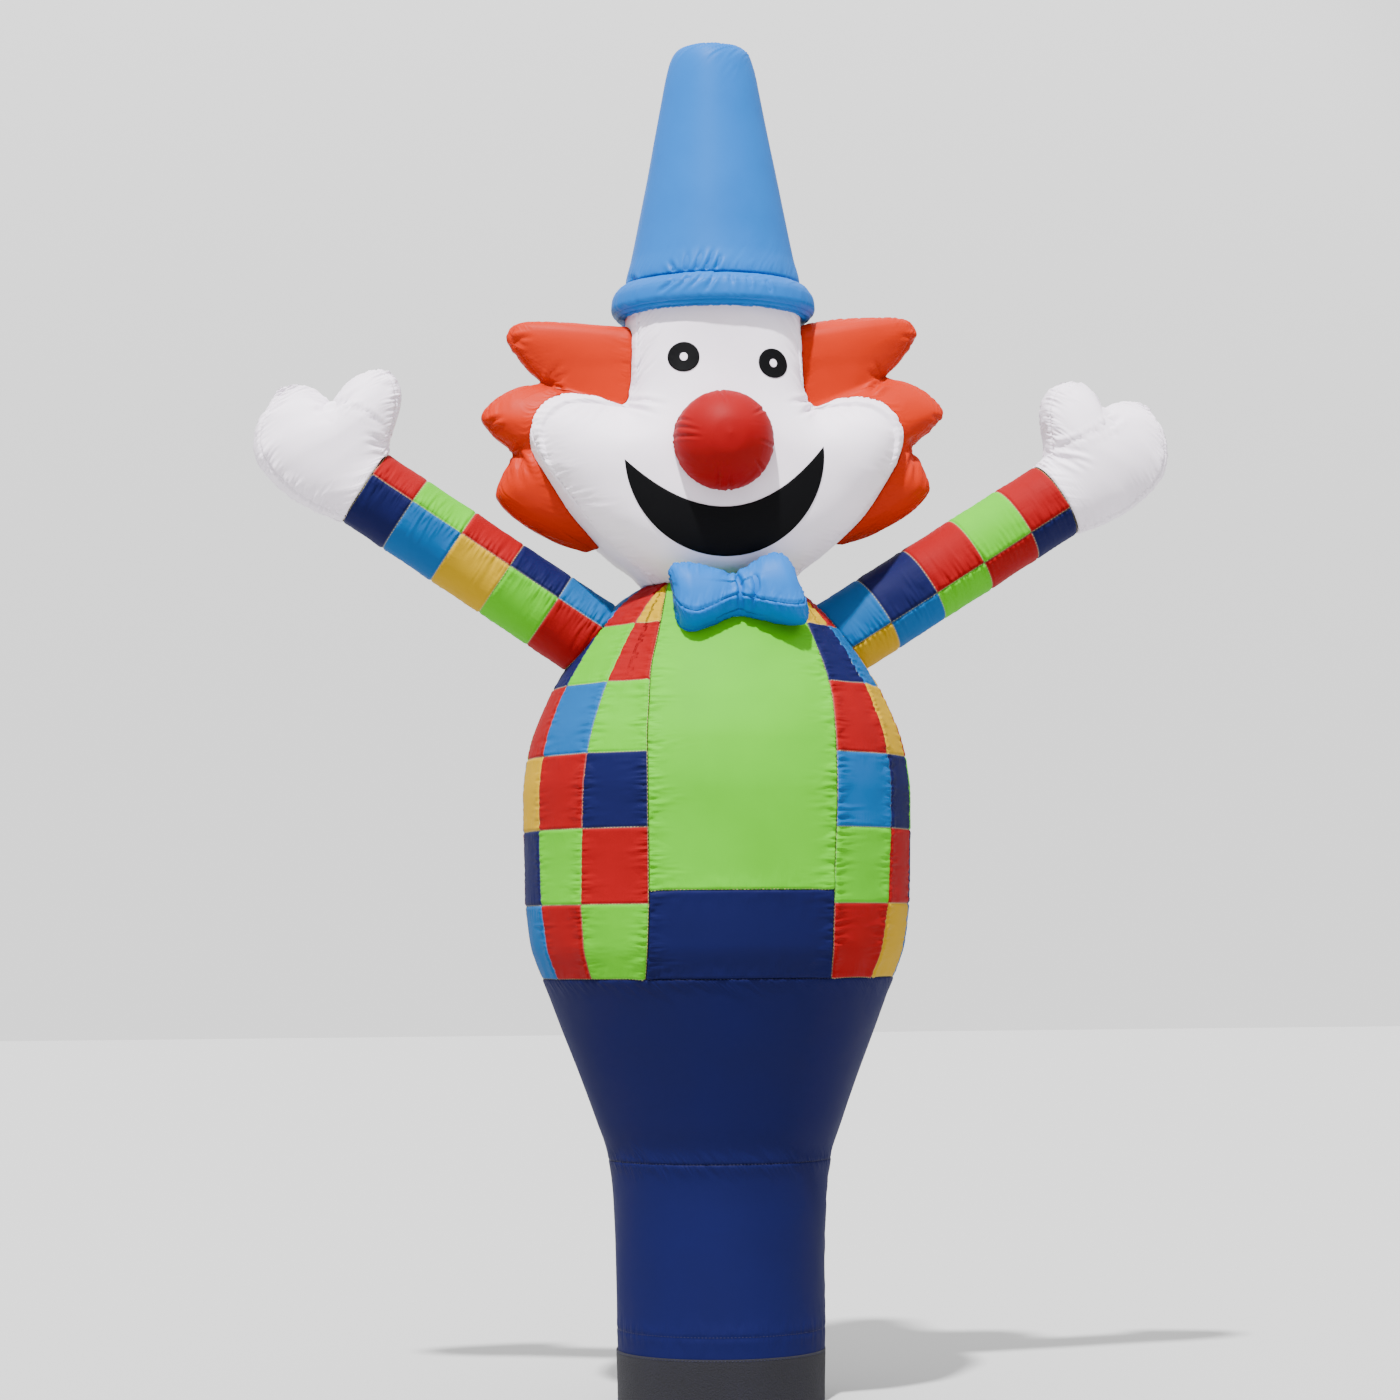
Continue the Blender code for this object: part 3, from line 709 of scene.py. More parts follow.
def grid_normals(points, around):
    """The grid's normals, and whether its columns run the other way round."""
    if around:
        wrapped = np.concatenate([points[:, -2:-1], points, points[:, 1:2]], axis=1)
        over = (wrapped[:, 2:] - wrapped[:, :-2]) / 2
    else:
        over = np.gradient(points, axis=1)
    up = np.gradient(points, axis=0)
    normals = np.cross(over, up)
    size = np.linalg.norm(normals, axis=2, keepdims=True)
    normals /= np.maximum(size, 1e-12)
    away = points - points.reshape(-1, 3).mean(0)
    flip = (normals * away * size).sum() < 0
    return (-normals if flip else normals), flip


class Cloth:
    """A grid of points on a panel's outside, with its seams.

    columns and rows are seams as (place in the grid, strength of its puckers);
    sewn are the ones that stitches show on; ends tell how the first and the last
    row are finished: open, pole where they meet in a point, fold where they meet
    in a line. box is the cut's width and length where they aren't its longest row
    and column.
    """

    def __init__(self, points, around=False, columns=(), rows=(), ends=("open", "open")):
        self.points = points
        self.around = around
        self.columns = list(columns)
        self.rows = list(rows)
        self.ends = ends
        self.sewn_columns = [place for place, _ in self.columns]
        self.sewn_rows = [place for place, _ in self.rows]
        self.normals, self.flip = grid_normals(points, around)
        self.across = travel(points, 1)
        self.down = travel(points, 0)
        self.paint = None
        self.box = None

    def crease(self, lines, depth=0.005, width=0.006):
        """Folds the front along lines of x and z, each from its deep end to its shallow one."""
        flat = self.points[..., [0, 2]]
        sunk = np.zeros(flat.shape[:2])
        (begins, rise), (ends, fall) = CREASE_RISE, CREASE_FALL
        for x0, z0, x1, z1 in lines:
            way = np.array((x1 - x0, z1 - z0))
            length = np.linalg.norm(way)
            from_start = flat - (x0, z0)
            share = from_start @ way / length**2
            off = np.abs(from_start @ np.array((-way[1], way[0]))) / length
            fold = np.exp(-((off / width) ** 2))
            ridge = np.exp(-((off / width - RIDGE_AWAY) ** 2))
            taper = np.minimum((share - begins) / rise, (ends - share) / fall)
            sunk += depth * smooth(taper) * (fold - RIDGE_SHARE * ridge)
        sunk[self.normals[..., 1] > 0] = 0.0
        # where the front and the back meet, they stay together
        row = np.arange(len(flat))
        for kind, inwards in zip(self.ends, (row, row[::-1])):
            if kind != "open":
                sunk *= np.clip(inwards / CREASE_MARGIN, 0, 1)[:, None]
        self.points = self.points - self.normals * sunk[..., None]
        self.normals, self.flip = grid_normals(self.points, self.around)

    def fields(self):
        """For both families of seams: the way to the nearest, along it, and its pull."""
        found = {}
        families = (
            ("a", self.across, self.down, self.columns),
            ("b", self.down, self.across, self.rows),
        )
        for family, way, run, marks in families:
            gap = np.full(way.shape, FAR)
            pull = np.zeros(way.shape)
            number = np.zeros(way.shape)
            for i, (place, strength) in enumerate(marks):
                seam = way[:, place][:, None] if family == "a" else way[place][None]
                away = np.abs(way - seam)
                if self.around and family == "a":
                    away = np.minimum(away, way[:, -1:] - away)
                near = away < gap
                gap[near] = away[near]
                pull[near] = strength
                number[near] = i
            found["gap_" + family] = gap
            found["run_" + family] = run + OWN_RUN * number
            found["pull_" + family] = pull
        marked = np.zeros(self.across.shape)
        marked[:, self.sewn_columns] = 1.0
        marked[self.sewn_rows] = 1.0
        found["seam"] = marked
        return found

    def area(self):
        """The area of the outside, in square metres."""
        p = self.points
        first = np.cross(p[:-1, 1:] - p[:-1, :-1], p[1:, :-1] - p[:-1, :-1])
        second = np.cross(p[1:, :-1] - p[1:, 1:], p[:-1, 1:] - p[1:, 1:])
        return (np.linalg.norm(first, axis=2) + np.linalg.norm(second, axis=2)).sum() / 2

    def cut(self):
        """The width and the length of what it is cut from, and its flat area."""
        area = self.area()
        width, length = float(self.across.max()), float(self.down.max())
        if self.box is not None:
            width, length = self.box
        elif "pole" in self.ends:
            reach = self.down[-1]
            quarter = (len(reach) - 1) // 4
            oval = reach[0] + reach[2 * quarter], reach[quarter] + reach[3 * quarter]
            if area > DISC_SHARE * math.pi / 4 * oval[0] * oval[1]:
                width, length = float(oval[0]), float(oval[1])
        return width, length, min(area, width * length)

    def tree(self):
        """The outside as a search tree, for pieces that are sewn on it."""
        rows, columns = self.points.shape[:2]
        index = np.arange(rows * columns).reshape(rows, columns)
        quads = quads_of(index, self.flip)
        return BVHTree.FromPolygons(self.points.reshape(-1, 3).tolist(), quads)


def quads_of(index, flip):
    """The quads between the points of a grid of vertex numbers."""
    corners = [index[:-1, :-1], index[:-1, 1:], index[1:, 1:], index[1:, :-1]]
    if flip:
        corners.reverse()
    return np.stack(corners, axis=2).reshape(-1, 4).tolist()


def coarse(count):
    """Every few places from 0 to count, with the last."""
    return sorted({*range(0, count, INNER_STEP), count - 1})


def rim(outer, inner, places, flip):
    """Triangles between a fine edge and a coarse one, which share the listed places."""
    faces = []
    for k, (a, b) in enumerate(zip(places, places[1:])):
        fans = [(outer[j], inner[k], outer[j + 1]) for j in range(a, b)]
        fans.append((outer[b], inner[k], inner[k + 1]))
        faces.extend(face[::-1] if flip else face for face in fans)
    return faces


def inner_wall(cloth, skin, rows, columns):
    """The points of the cloth's inside, closed with the outside at a pole or a fold."""
    wall = (cloth.points - cloth.normals * skin)[np.ix_(rows, columns)]
    for end, kind in zip((0, -1), cloth.ends):
        if kind == "open":
            continue
        near = 1 if end == 0 else -2
        edge = cloth.points[end][columns]
        back = cloth.points[near][columns]
        if kind == "pole":
            back = np.broadcast_to(back.mean(0), back.shape)
        else:
            back = (back + back[::-1]) / 2
        way = edge - back
        way /= np.maximum(np.linalg.norm(way, axis=1, keepdims=True), 1e-9)
        wall[end] = edge - way * skin * 1.5
    return wall


def cloth_mesh(name, cloth, skin):
    """A closed skin: the grid outside, a coarser wall inside, and the rims between."""
    rows, columns = cloth.points.shape[:2]
    around = cloth.around
    kept = columns - 1 if around else columns
    wall_rows, wall_columns = coarse(rows), coarse(columns)
    fine = np.arange(rows * kept).reshape(rows, kept)
    fine = np.hstack([fine, fine[:, :1]]) if around else fine
    wall = inner_wall(cloth, skin, wall_rows, wall_columns)
    wall_kept = len(wall_columns) - 1 if around else len(wall_columns)
    rough = rows * kept + np.arange(len(wall_rows) * wall_kept).reshape(-1, wall_kept)
    rough = np.hstack([rough, rough[:, :1]]) if around else rough
    outside = quads_of(fine, cloth.flip)
    inside = quads_of(rough, not cloth.flip)
    faces = outside + inside
    flip = cloth.flip
    if cloth.ends[0] == "open":
        faces += rim(fine[0], rough[0], wall_columns, flip)
    if cloth.ends[1] == "open":
        faces += rim(fine[-1], rough[-1], wall_columns, not flip)
    if not around:
        faces += rim(fine[:, 0], rough[:, 0], wall_rows, not flip)
        faces += rim(fine[:, -1], rough[:, -1], wall_rows, flip)
    points = np.vstack(
        [cloth.points[:, :kept].reshape(-1, 3), wall[:, :wall_kept].reshape(-1, 3)]
    )
    mesh = bpy.data.meshes.new(name)
    mesh.from_pydata(points.tolist(), [], faces)
    fields = cloth.fields()
    fields["outer"] = np.ones((rows, columns))
    spare = len(points) - rows * kept
    for label, field in fields.items():
        rest = FAR if label.startswith("gap") else 0.0
        values = np.concatenate([field[:, :kept].ravel(), np.full(spare, rest)])
        attribute = mesh.attributes.new(label, "FLOAT", "POINT")
        attribute.data.foreach_set("value", values.astype(np.float32))
    write_corners(mesh, cloth, len(outside))
    weld(mesh)
    mesh.shade_smooth()
    return mesh


def weld(mesh):
    """Joins the points that share a place, as at a pole or a fold."""
    work = bmesh.new()
    work.from_mesh(mesh)
    bmesh.ops.remove_doubles(work, verts=work.verts, dist=MERGE)
    work.to_mesh(mesh)
    work.free()


def write_corners(mesh, cloth, quads):
    """Writes each corner's place on the cloth, in metres, and the patches' colours."""
    corners = [(0, 0), (0, 1), (1, 1), (1, 0)]
    if cloth.flip:
        corners.reverse()
    rows, columns = cloth.across.shape
    uv = np.zeros((len(mesh.loops), 2), np.float32)
    place = np.stack([cloth.across, cloth.down], axis=2)
    parts = [place[r : rows - 1 + r, c : columns - 1 + c] for r, c in corners]
    uv[: 4 * quads] = np.stack(parts, axis=2).reshape(-1, 2)
    mesh.uv_layers.new(name="cloth_m").data.foreach_set("uv", uv.ravel())
    if cloth.paint is not None:
        tint = np.ones((len(mesh.loops), 4), np.float32)
        tint[: 4 * quads, :3] = np.repeat(cloth.paint.reshape(-1, 3), 4, axis=0)
        tint[4 * quads :, :3] = cloth.paint.reshape(-1, 3).mean(0)
        layer = mesh.color_attributes.new("patch", "FLOAT_COLOR", "CORNER")
        layer.data.foreach_set("color", tint.ravel())


# ---------------------------------------------------------------- node trees


def add_node(tree, kind, inputs=(), **settings):
    """Adds a node. Inputs are values, or the nodes or sockets that feed them."""
    made = tree.nodes.new(kind)
    for setting, value in settings.items():
        setattr(made, setting, value)
    for socket, value in dict(inputs).items():
        if isinstance(value, bpy.types.Node):
            value = value.outputs[0]
        if isinstance(value, bpy.types.NodeSocket):
            tree.links.new(value, made.inputs[socket])
        else:
            made.inputs[socket].default_value = value
    return made


def new_tree(name, inputs):
    """A Geometry Nodes tree with its inputs, given as (name, socket type, default)."""
    tree = bpy.data.node_groups.new(name, "GeometryNodeTree")
    sockets = tree.interface
    sockets.new_socket("Geometry", in_out="INPUT", socket_type="NodeSocketGeometry")
    for label, kind, default in inputs:
        made = sockets.new_socket(label, in_out="INPUT", socket_type=kind)
        if default is not None:
            made.default_value = default
    sockets.new_socket("Geometry", in_out="OUTPUT", socket_type="NodeSocketGeometry")
    return tree, tree.nodes.new("NodeGroupInput"), tree.nodes.new("NodeGroupOutput")


def gathers(add, slot, family, seed):
    """How far the puckers and the groove of one family of seams lift the cloth."""
    gap, run, pull = (
        add("GeometryNodeInputNamedAttribute", {"Name": kind + "_" + family})
        for kind in ("gap", "run", "pull")
    )
    along = add("ShaderNodeMath", {0: run, 1: slot["Spacing"]}, operation="DIVIDE")
    away = add("ShaderNodeMath", {0: gap, 1: slot["Reach"]}, operation="DIVIDE")
    lean = add("ShaderNodeMath", {0: away, 1: 0.35}, operation="MULTIPLY")
    spot = add("ShaderNodeCombineXYZ", {"X": along, "Y": lean, "Z": seed})
    ripple = add(
        "ShaderNodeTexNoise",
        {"Vector": spot, "Scale": 1.0, "Detail": 1.0, "Roughness": 0.5},
    )
    # where the noise passes its middle, a pucker has its crest
    off = add("ShaderNodeMath", {0: ripple, 1: 0.5}, operation="SUBTRACT")
    size = add("ShaderNodeMath", {0: off}, operation="ABSOLUTE")
    crest = add(
        "ShaderNodeMapRange",
        {"Value": size, "From Min": 0.0, "From Max": 0.17, "To Min": 1.0, "To Max": 0.0},
        interpolation_type="SMOOTHSTEP",
    )
    # how long and how strong the puckers are changes slowly along the seam
    slow = add("ShaderNodeMath", {0: along, 1: 0.31}, operation="MULTIPLY")
    slow_spot = add("ShaderNodeCombineXYZ", {"X": slow, "Y": seed, "Z": 4.2})
    change = add(
        "ShaderNodeTexNoise",
        {"Vector": slow_spot, "Scale": 1.0, "Detail": 1.0, "Roughness": 0.5},
    )
    longer = add(
        "ShaderNodeMapRange",
        {"Value": change, "From Min": 0.33, "From Max": 0.68, "To Min": 0.3, "To Max": 1.5},
    )
    share = add("ShaderNodeMath", {0: away, 1: longer}, operation="DIVIDE")
    steep = add("ShaderNodeMath", {0: share, 1: 1.4}, operation="POWER")
    negative = add("ShaderNodeMath", {0: steep, 1: -1.0}, operation="MULTIPLY")
    fading = add("ShaderNodeMath", {0: negative}, operation="EXPONENT")
    # they rise from nothing over the first 5 mm beside the seam
    start = add(
        "ShaderNodeMapRange",
        {"Value": gap, "From Min": 0.0, "From Max": 0.005, "To Min": 0.0, "To Max": 1.0},
        interpolation_type="SMOOTHSTEP",
    )
    ridge = add("ShaderNodeMath", {0: crest, 1: fading}, operation="MULTIPLY")
    begun = add("ShaderNodeMath", {0: ridge, 1: start}, operation="MULTIPLY")
    pulled = add("ShaderNodeMath", {0: begun, 1: pull}, operation="MULTIPLY")
    high = add("ShaderNodeMath", {0: pulled, 1: slot["Depth"]}, operation="MULTIPLY")
    # the seam itself is a groove with a bell's section
    near = add("ShaderNodeMath", {0: gap, 1: slot["Groove width"]}, operation="DIVIDE")
    square = add("ShaderNodeMath", {0: near, 1: 2.0}, operation="POWER")
    minus = add("ShaderNodeMath", {0: square, 1: -1.0}, operation="MULTIPLY")
    bell = add("ShaderNodeMath", {0: minus}, operation="EXPONENT")
    dip = add("ShaderNodeMath", {0: bell, 1: slot["Groove"]}, operation="MULTIPLY")
    return add("ShaderNodeMath", {0: high, 1: dip}, operation="SUBTRACT")


def pucker_tree():
    """Draws the cloth in at its seams and gathers it beside them."""
    number = "NodeSocketFloat"
    tree, given, made = new_tree(
        "Seam puckers",
        [
            ("Depth", number, 0.002),
            ("Spacing", number, 0.018),
            ("Reach", number, 0.02),
            ("Groove", number, 0.0018),
            ("Groove width", number, GROOVE_WIDTH),
            ("Sag", number, 0.0),
            ("Seed", number, 1.0),
            ("Cloth", "NodeSocketMaterial", None),
        ],
    )
    add = functools.partial(add_node, tree)
    slot = given.outputs
    other_seed = add("ShaderNodeMath", {0: slot["Seed"], 1: 11.7}, operation="ADD")
    across = gathers(add, slot, "a", slot["Seed"])
    down = gathers(add, slot, "b", other_seed)
    total = add("ShaderNodeMath", {0: across, 1: down}, operation="ADD")
    # the cloth isn't evenly tight, so it wanders a little all over
    where = add("GeometryNodeInputPosition")
    wander = add(
        "ShaderNodeTexNoise",
        {"Vector": where, "Scale": 1 / WANDER_M, "Detail": 1.0, "Roughness": 0.4},
    )
    level = add("ShaderNodeMath", {0: wander, 1: 0.5}, operation="SUBTRACT")
    loose = add("ShaderNodeMath", {0: level, 1: slot["Sag"]}, operation="MULTIPLY")
    summed = add("ShaderNodeMath", {0: total, 1: loose}, operation="ADD")
    outer = add("GeometryNodeInputNamedAttribute", {"Name": "outer"})
    only = add("ShaderNodeMath", {0: summed, 1: outer}, operation="MULTIPLY")
    normal = add("GeometryNodeInputNormal")
    offset = add("ShaderNodeVectorMath", {0: normal, "Scale": only}, operation="SCALE")
    moved = add("GeometryNodeSetPosition", {"Geometry": slot["Geometry"], "Offset": offset})
    real = add("GeometryNodeRealizeInstances", {"Geometry": moved})
    dressed = add("GeometryNodeSetMaterial", {"Geometry": real, "Material": slot["Cloth"]})
    tree.links.new(dressed.outputs[0], made.inputs[0])
    return tree


def stitch_tree():
    """Lays a row of stitches along every marked seam of a panel."""
    number = "NodeSocketFloat"
    tree, given, made = new_tree(
        "Lockstitch",
        [
            ("Pitch", number, 0.008),
            ("Length", number, 0.005),
            ("Radius", number, 0.0007),
            ("Lift", number, 0.0004),
            ("Thread", "NodeSocketMaterial", None),
        ],
    )
    add = functools.partial(add_node, tree)
    slot = given.outputs
    normal = add("GeometryNodeInputNormal")
    lift = add("ShaderNodeVectorMath", {0: normal, "Scale": slot["Lift"]}, operation="SCALE")
    raised = add("GeometryNodeSetPosition", {"Geometry": slot["Geometry"], "Offset": lift})
    mark = add("GeometryNodeInputNamedAttribute", {"Name": "seam"})
    on_seam = add("ShaderNodeMath", {0: mark, 1: 0.99}, operation="GREATER_THAN")
    line = add("GeometryNodeMeshToCurve", {"Mesh": raised, "Selection": on_seam})
    spaced = add("GeometryNodeResampleCurve", {"Curve": line}, mode="LENGTH")
    tree.links.new(slot["Pitch"], spaced.inputs["Length"])
    way = add("GeometryNodeInputTangent")
    turn = add("FunctionNodeAlignRotationToVector", {"Vector": way}, axis="Z")
    bead = add("GeometryNodeMeshUVSphere", {"Segments": 5, "Rings": 3, "Radius": 1.0})
    half = add("ShaderNodeMath", {0: slot["Length"], 1: 0.5}, operation="MULTIPLY")
    size = add(
        "ShaderNodeCombineXYZ", {"X": slot["Radius"], "Y": slot["Radius"], "Z": half}
    )
    placed = add(
        "GeometryNodeInstanceOnPoints",
        {"Points": spaced, "Instance": bead, "Rotation": turn, "Scale": size},
    )
    real = add("GeometryNodeRealizeInstances", {"Geometry": placed})
    shaded = add("GeometryNodeSetShadeSmooth", {"Geometry": real})
    dressed = add(
        "GeometryNodeSetMaterial", {"Geometry": shaded, "Material": slot["Thread"]}
    )
    tree.links.new(dressed.outputs[0], made.inputs[0])
    return tree


def found_tree(name, maker):
    """The named tree, made when it is first asked for."""
    return bpy.data.node_groups.get(name) or maker()


def through_nodes(name, mesh, tree, values):
    """Runs a mesh through a tree, with inputs by name, and returns a plain mesh."""
    source = bpy.data.objects.new(name, mesh)
    bpy.context.scene.collection.objects.link(source)
    nodes = source.modifiers.new(tree.name, "NODES")
    nodes.node_group = tree
    for item in tree.interface.items_tree:
        if item.in_out == "INPUT" and item.name in values:
            nodes[item.identifier] = values[item.name]
    graph = bpy.context.evaluated_depsgraph_get()
    result = bpy.data.meshes.new_from_object(source.evaluated_get(graph))
    bpy.data.objects.remove(source)
    return result


# ---------------------------------------------------------------- cloth finishes


def new_finish(name):
    """A new material, its node tree and its shader."""
    made = bpy.data.materials.new(name)
    made.use_nodes = True
    return made, made.node_tree, made.node_tree.nodes["Principled BSDF"]


def fine_creases(add):
    """Creases that cross the seams: their height as a share, and the nearest seam.

    They are 10 mm apart and 16 to 70 mm long, which changes slowly along a seam.
    """
    crease_m, crease_reach_m, change_m = 0.010, 0.06, 0.05
    heights, gaps = [], []
    for family in "ab":
        gap, run, pull = (
            add("ShaderNodeAttribute", attribute_name=kind + "_" + family).outputs["Fac"]
            for kind in ("gap", "run", "pull")
        )
        along = add("ShaderNodeMath", {0: run, 1: 1 / crease_m}, operation="MULTIPLY")
        away = add("ShaderNodeMath", {0: gap, 1: 1 / crease_reach_m}, operation="MULTIPLY")
        spot = add("ShaderNodeCombineXYZ", {"X": along, "Y": away, "Z": 3.1})
        crease = add(
            "ShaderNodeTexNoise",
            {"Vector": spot, "Scale": 1.0, "Detail": 1.0, "Roughness": 0.5},
        )
        slow = add("ShaderNodeMath", {0: run, 1: 1 / change_m}, operation="MULTIPLY")
        change = add(
            "ShaderNodeTexNoise",
            {"Vector": add("ShaderNodeCombineXYZ", {"X": slow}), "Scale": 1.0, "Detail": 1.0},
        )
        length = add(
            "ShaderNodeMapRange",
            {"Value": change, "From Min": 0.35, "From Max": 0.7, "To Min": 0.016, "To Max": 0.07},
        )
        fade = add(
            "ShaderNodeMapRange",
            {"Value": gap, "From Min": 0.0, "From Max": length, "To Min": 1.0, "To Max": 0.0},
            interpolation_type="SMOOTHSTEP",
        )
        faint = add("ShaderNodeMath", {0: fade, 1: pull}, operation="MULTIPLY")
        heights.append(add("ShaderNodeMath", {0: crease, 1: faint}, operation="MULTIPLY"))
        gaps.append(gap)
    height = add("ShaderNodeMath", {0: heights[0], 1: heights[1]}, operation="ADD")
    nearest = add("ShaderNodeMath", {0: gaps[0], 1: gaps[1]}, operation="MINIMUM")
    return height, nearest


def plain_weave(add, pitch):
    """A grid of threads a pitch apart, from -1 to 1, on the cloth's own coordinates."""
    cloth = add("ShaderNodeUVMap", uv_map="cloth_m")
    parts = add("ShaderNodeSeparateXYZ", {0: cloth}).outputs
    waves = []
    for axis in (0, 1):
        turns = {0: parts[axis], 1: 2 * math.pi / pitch}
        turned = add("ShaderNodeMath", turns, operation="MULTIPLY")
        waves.append(add("ShaderNodeMath", {0: turned}, operation="SINE"))
    return add("ShaderNodeMath", {0: waves[0], 1: waves[1]}, operation="MULTIPLY")


def nylon(name, colour, patch=False, roughness=0.42, whitening_and_highlight_share=0.0):
    """Coated nylon oxford: a plain woven ground under a thin coat.

    The coat gives a broad soft gloss, the ground a fine grid of threads, and the
    sewing short sharp creases, painted shade in each seam's slit and, on lime and
    patchwork, a pale line beside it, partly the paler colour of thread and stretched
    cloth and partly a painted highlight where the folded edge catches the light.
    Threads of 0.3 mm are drawn 2.4 mm apart, because finer ones don't show.
    """
    made, tree, shader = new_finish(name)
    add = functools.partial(add_node, tree)
    thread_m, thread_high_m = 0.0024, 0.00003
    crease_high_m, uneven_m = 0.0045, 0.2
    ground = colour
    if patch:
        ground = add("ShaderNodeAttribute", attribute_name="patch").outputs["Color"]
    place = add("ShaderNodeTexCoord").outputs["Object"]
    patchy = add(
        "ShaderNodeTexNoise",
        {"Vector": place, "Scale": 1 / uneven_m, "Detail": 3.0, "Roughness": 0.55},
    )
    shade = add(
        "ShaderNodeMapRange",
        {"Value": patchy, "From Min": 0.3, "From Max": 0.7, "To Min": 0.93, "To Max": 1.06},
    )
    base = add("ShaderNodeVectorMath", {0: ground, "Scale": shade}, operation="SCALE")
    height, nearest = fine_creases(add)
    # painted shade darkens each seam's slit; on patches a pale line lies beside it, partly
    # the paler colour of thread and stretched cloth and partly a painted highlight on the folded
    # edge
    if whitening_and_highlight_share:
        edge = add(
            "ShaderNodeMapRange",
            {"Value": nearest, "From Min": 0.0010, "From Max": 0.0026, "To Min": 1.0, "To Max": 0.0},
        )
        # the pale line: partly thread and stretched cloth, partly a painted highlight on the folded
        # edge
        pale = add("ShaderNodeMath", {0: edge, 1: whitening_and_highlight_share}, operation="MULTIPLY")
        # a Mix node's colours are its sockets 6 and 7, and its colour result is the third
        colours = {"Factor": pale, 6: base, 7: (*linear("#FFFAEC"), 1.0)}
        base = add("ShaderNodeMix", colours, data_type="RGBA").outputs[2]
    # painted shade in the slit of each seam, where the two panels meet
    seam_shade = add(
        "ShaderNodeMapRange",
        {"Value": nearest, "From Min": 0.0003, "From Max": 0.0014, "To Min": 0.7, "To Max": 1.0},
    )
    final = add("ShaderNodeVectorMath", {0: base, "Scale": seam_shade}, operation="SCALE")
    tree.links.new(final.outputs[0], shader.inputs["Base Color"])
    weave = plain_weave(add, thread_m)
    fine = add("ShaderNodeMath", {0: weave, 1: thread_high_m}, operation="MULTIPLY")
    crumple = add("ShaderNodeMath", {0: height, 1: crease_high_m}, operation="MULTIPLY")
    relief = add("ShaderNodeMath", {0: crumple, 1: fine}, operation="ADD")
    bump = add("ShaderNodeBump", {"Strength": 1.0, "Distance": 1.0, "Height": relief})
    tree.links.new(bump.outputs[0], shader.inputs["Normal"])
    rough = {"To Min": roughness - 0.05, "To Max": roughness + 0.07}
    worn = add(
        "ShaderNodeMapRange", {"Value": patchy, "From Min": 0.3, "From Max": 0.7, **rough}
    )
    tree.links.new(worn.outputs[0], shader.inputs["Roughness"])
    shader.inputs["Metallic"].default_value = 0.0
    shader.inputs["IOR"].default_value = 1.5
    shader.inputs["Specular IOR Level"].default_value = 0.08
    return made


def polyester_thread(name, colour):
    """Polyester sewing thread: twisted, so it has a dry gloss with fine dark turns."""
    made, tree, shader = new_finish(name)
    add = functools.partial(add_node, tree)
    turn_m = 0.00111
    place = add("ShaderNodeTexCoord").outputs["Object"]
    ply = add("ShaderNodeTexNoise", {"Vector": place, "Scale": 1 / turn_m, "Detail": 1.0})
    shade = add(
        "ShaderNodeMapRange",
        {"Value": ply, "From Min": 0.35, "From Max": 0.65, "To Min": 0.75, "To Max": 1.05},
    )
    tint = add("ShaderNodeVectorMath", {0: colour, "Scale": shade}, operation="SCALE")
    tree.links.new(tint.outputs[0], shader.inputs["Base Color"])
    shader.inputs["Roughness"].default_value = 0.6
    return made


def hook_tape(name, colour):
    """Hook-and-loop tape: a matt felt of nylon loops without gloss, speckled with painted light on
    their tops and painted shade in the hollows between them.

    Loops of 1 mm are drawn 3.5 mm apart, because finer ones don't show.
    """
    made, tree, shader = new_finish(name)
    add = functools.partial(add_node, tree)
    loop_m, cloud_m = 0.0035, 0.0714
    place = add("ShaderNodeTexCoord").outputs["Object"]
    loops = add("ShaderNodeTexVoronoi", {"Vector": place, "Scale": 1 / loop_m}, feature="F1")
    cloudy = add("ShaderNodeTexNoise", {"Vector": place, "Scale": 1 / cloud_m, "Detail": 4.0})
    # painted light on the loops' tops and painted shade in the hollows between them, following the
    # bump
    loop_light_and_shade = add(
        "ShaderNodeMapRange",
        {
            "Value": loops.outputs["Distance"],
            "From Min": 0.0,
            "From Max": 0.7,
            "To Min": 1.25,
            "To Max": 0.55,
        },
    )
    speckled = add("ShaderNodeVectorMath", {0: colour, "Scale": loop_light_and_shade}, operation="SCALE")
    mottle = add(
        "ShaderNodeMapRange",
        {"Value": cloudy, "From Min": 0.3, "From Max": 0.7, "To Min": 0.8, "To Max": 1.2},
    )
    tint = add("ShaderNodeVectorMath", {0: speckled, "Scale": mottle}, operation="SCALE")
    tree.links.new(tint.outputs[0], shader.inputs["Base Color"])
    high = add(
        "ShaderNodeMath", {0: loops.outputs["Distance"], 1: -0.0008}, operation="MULTIPLY"
    )
    bump = add("ShaderNodeBump", {"Strength": 1.0, "Distance": 1.0, "Height": high})
    tree.links.new(bump.outputs[0], shader.inputs["Normal"])
    shader.inputs["Roughness"].default_value = 0.92
    return made


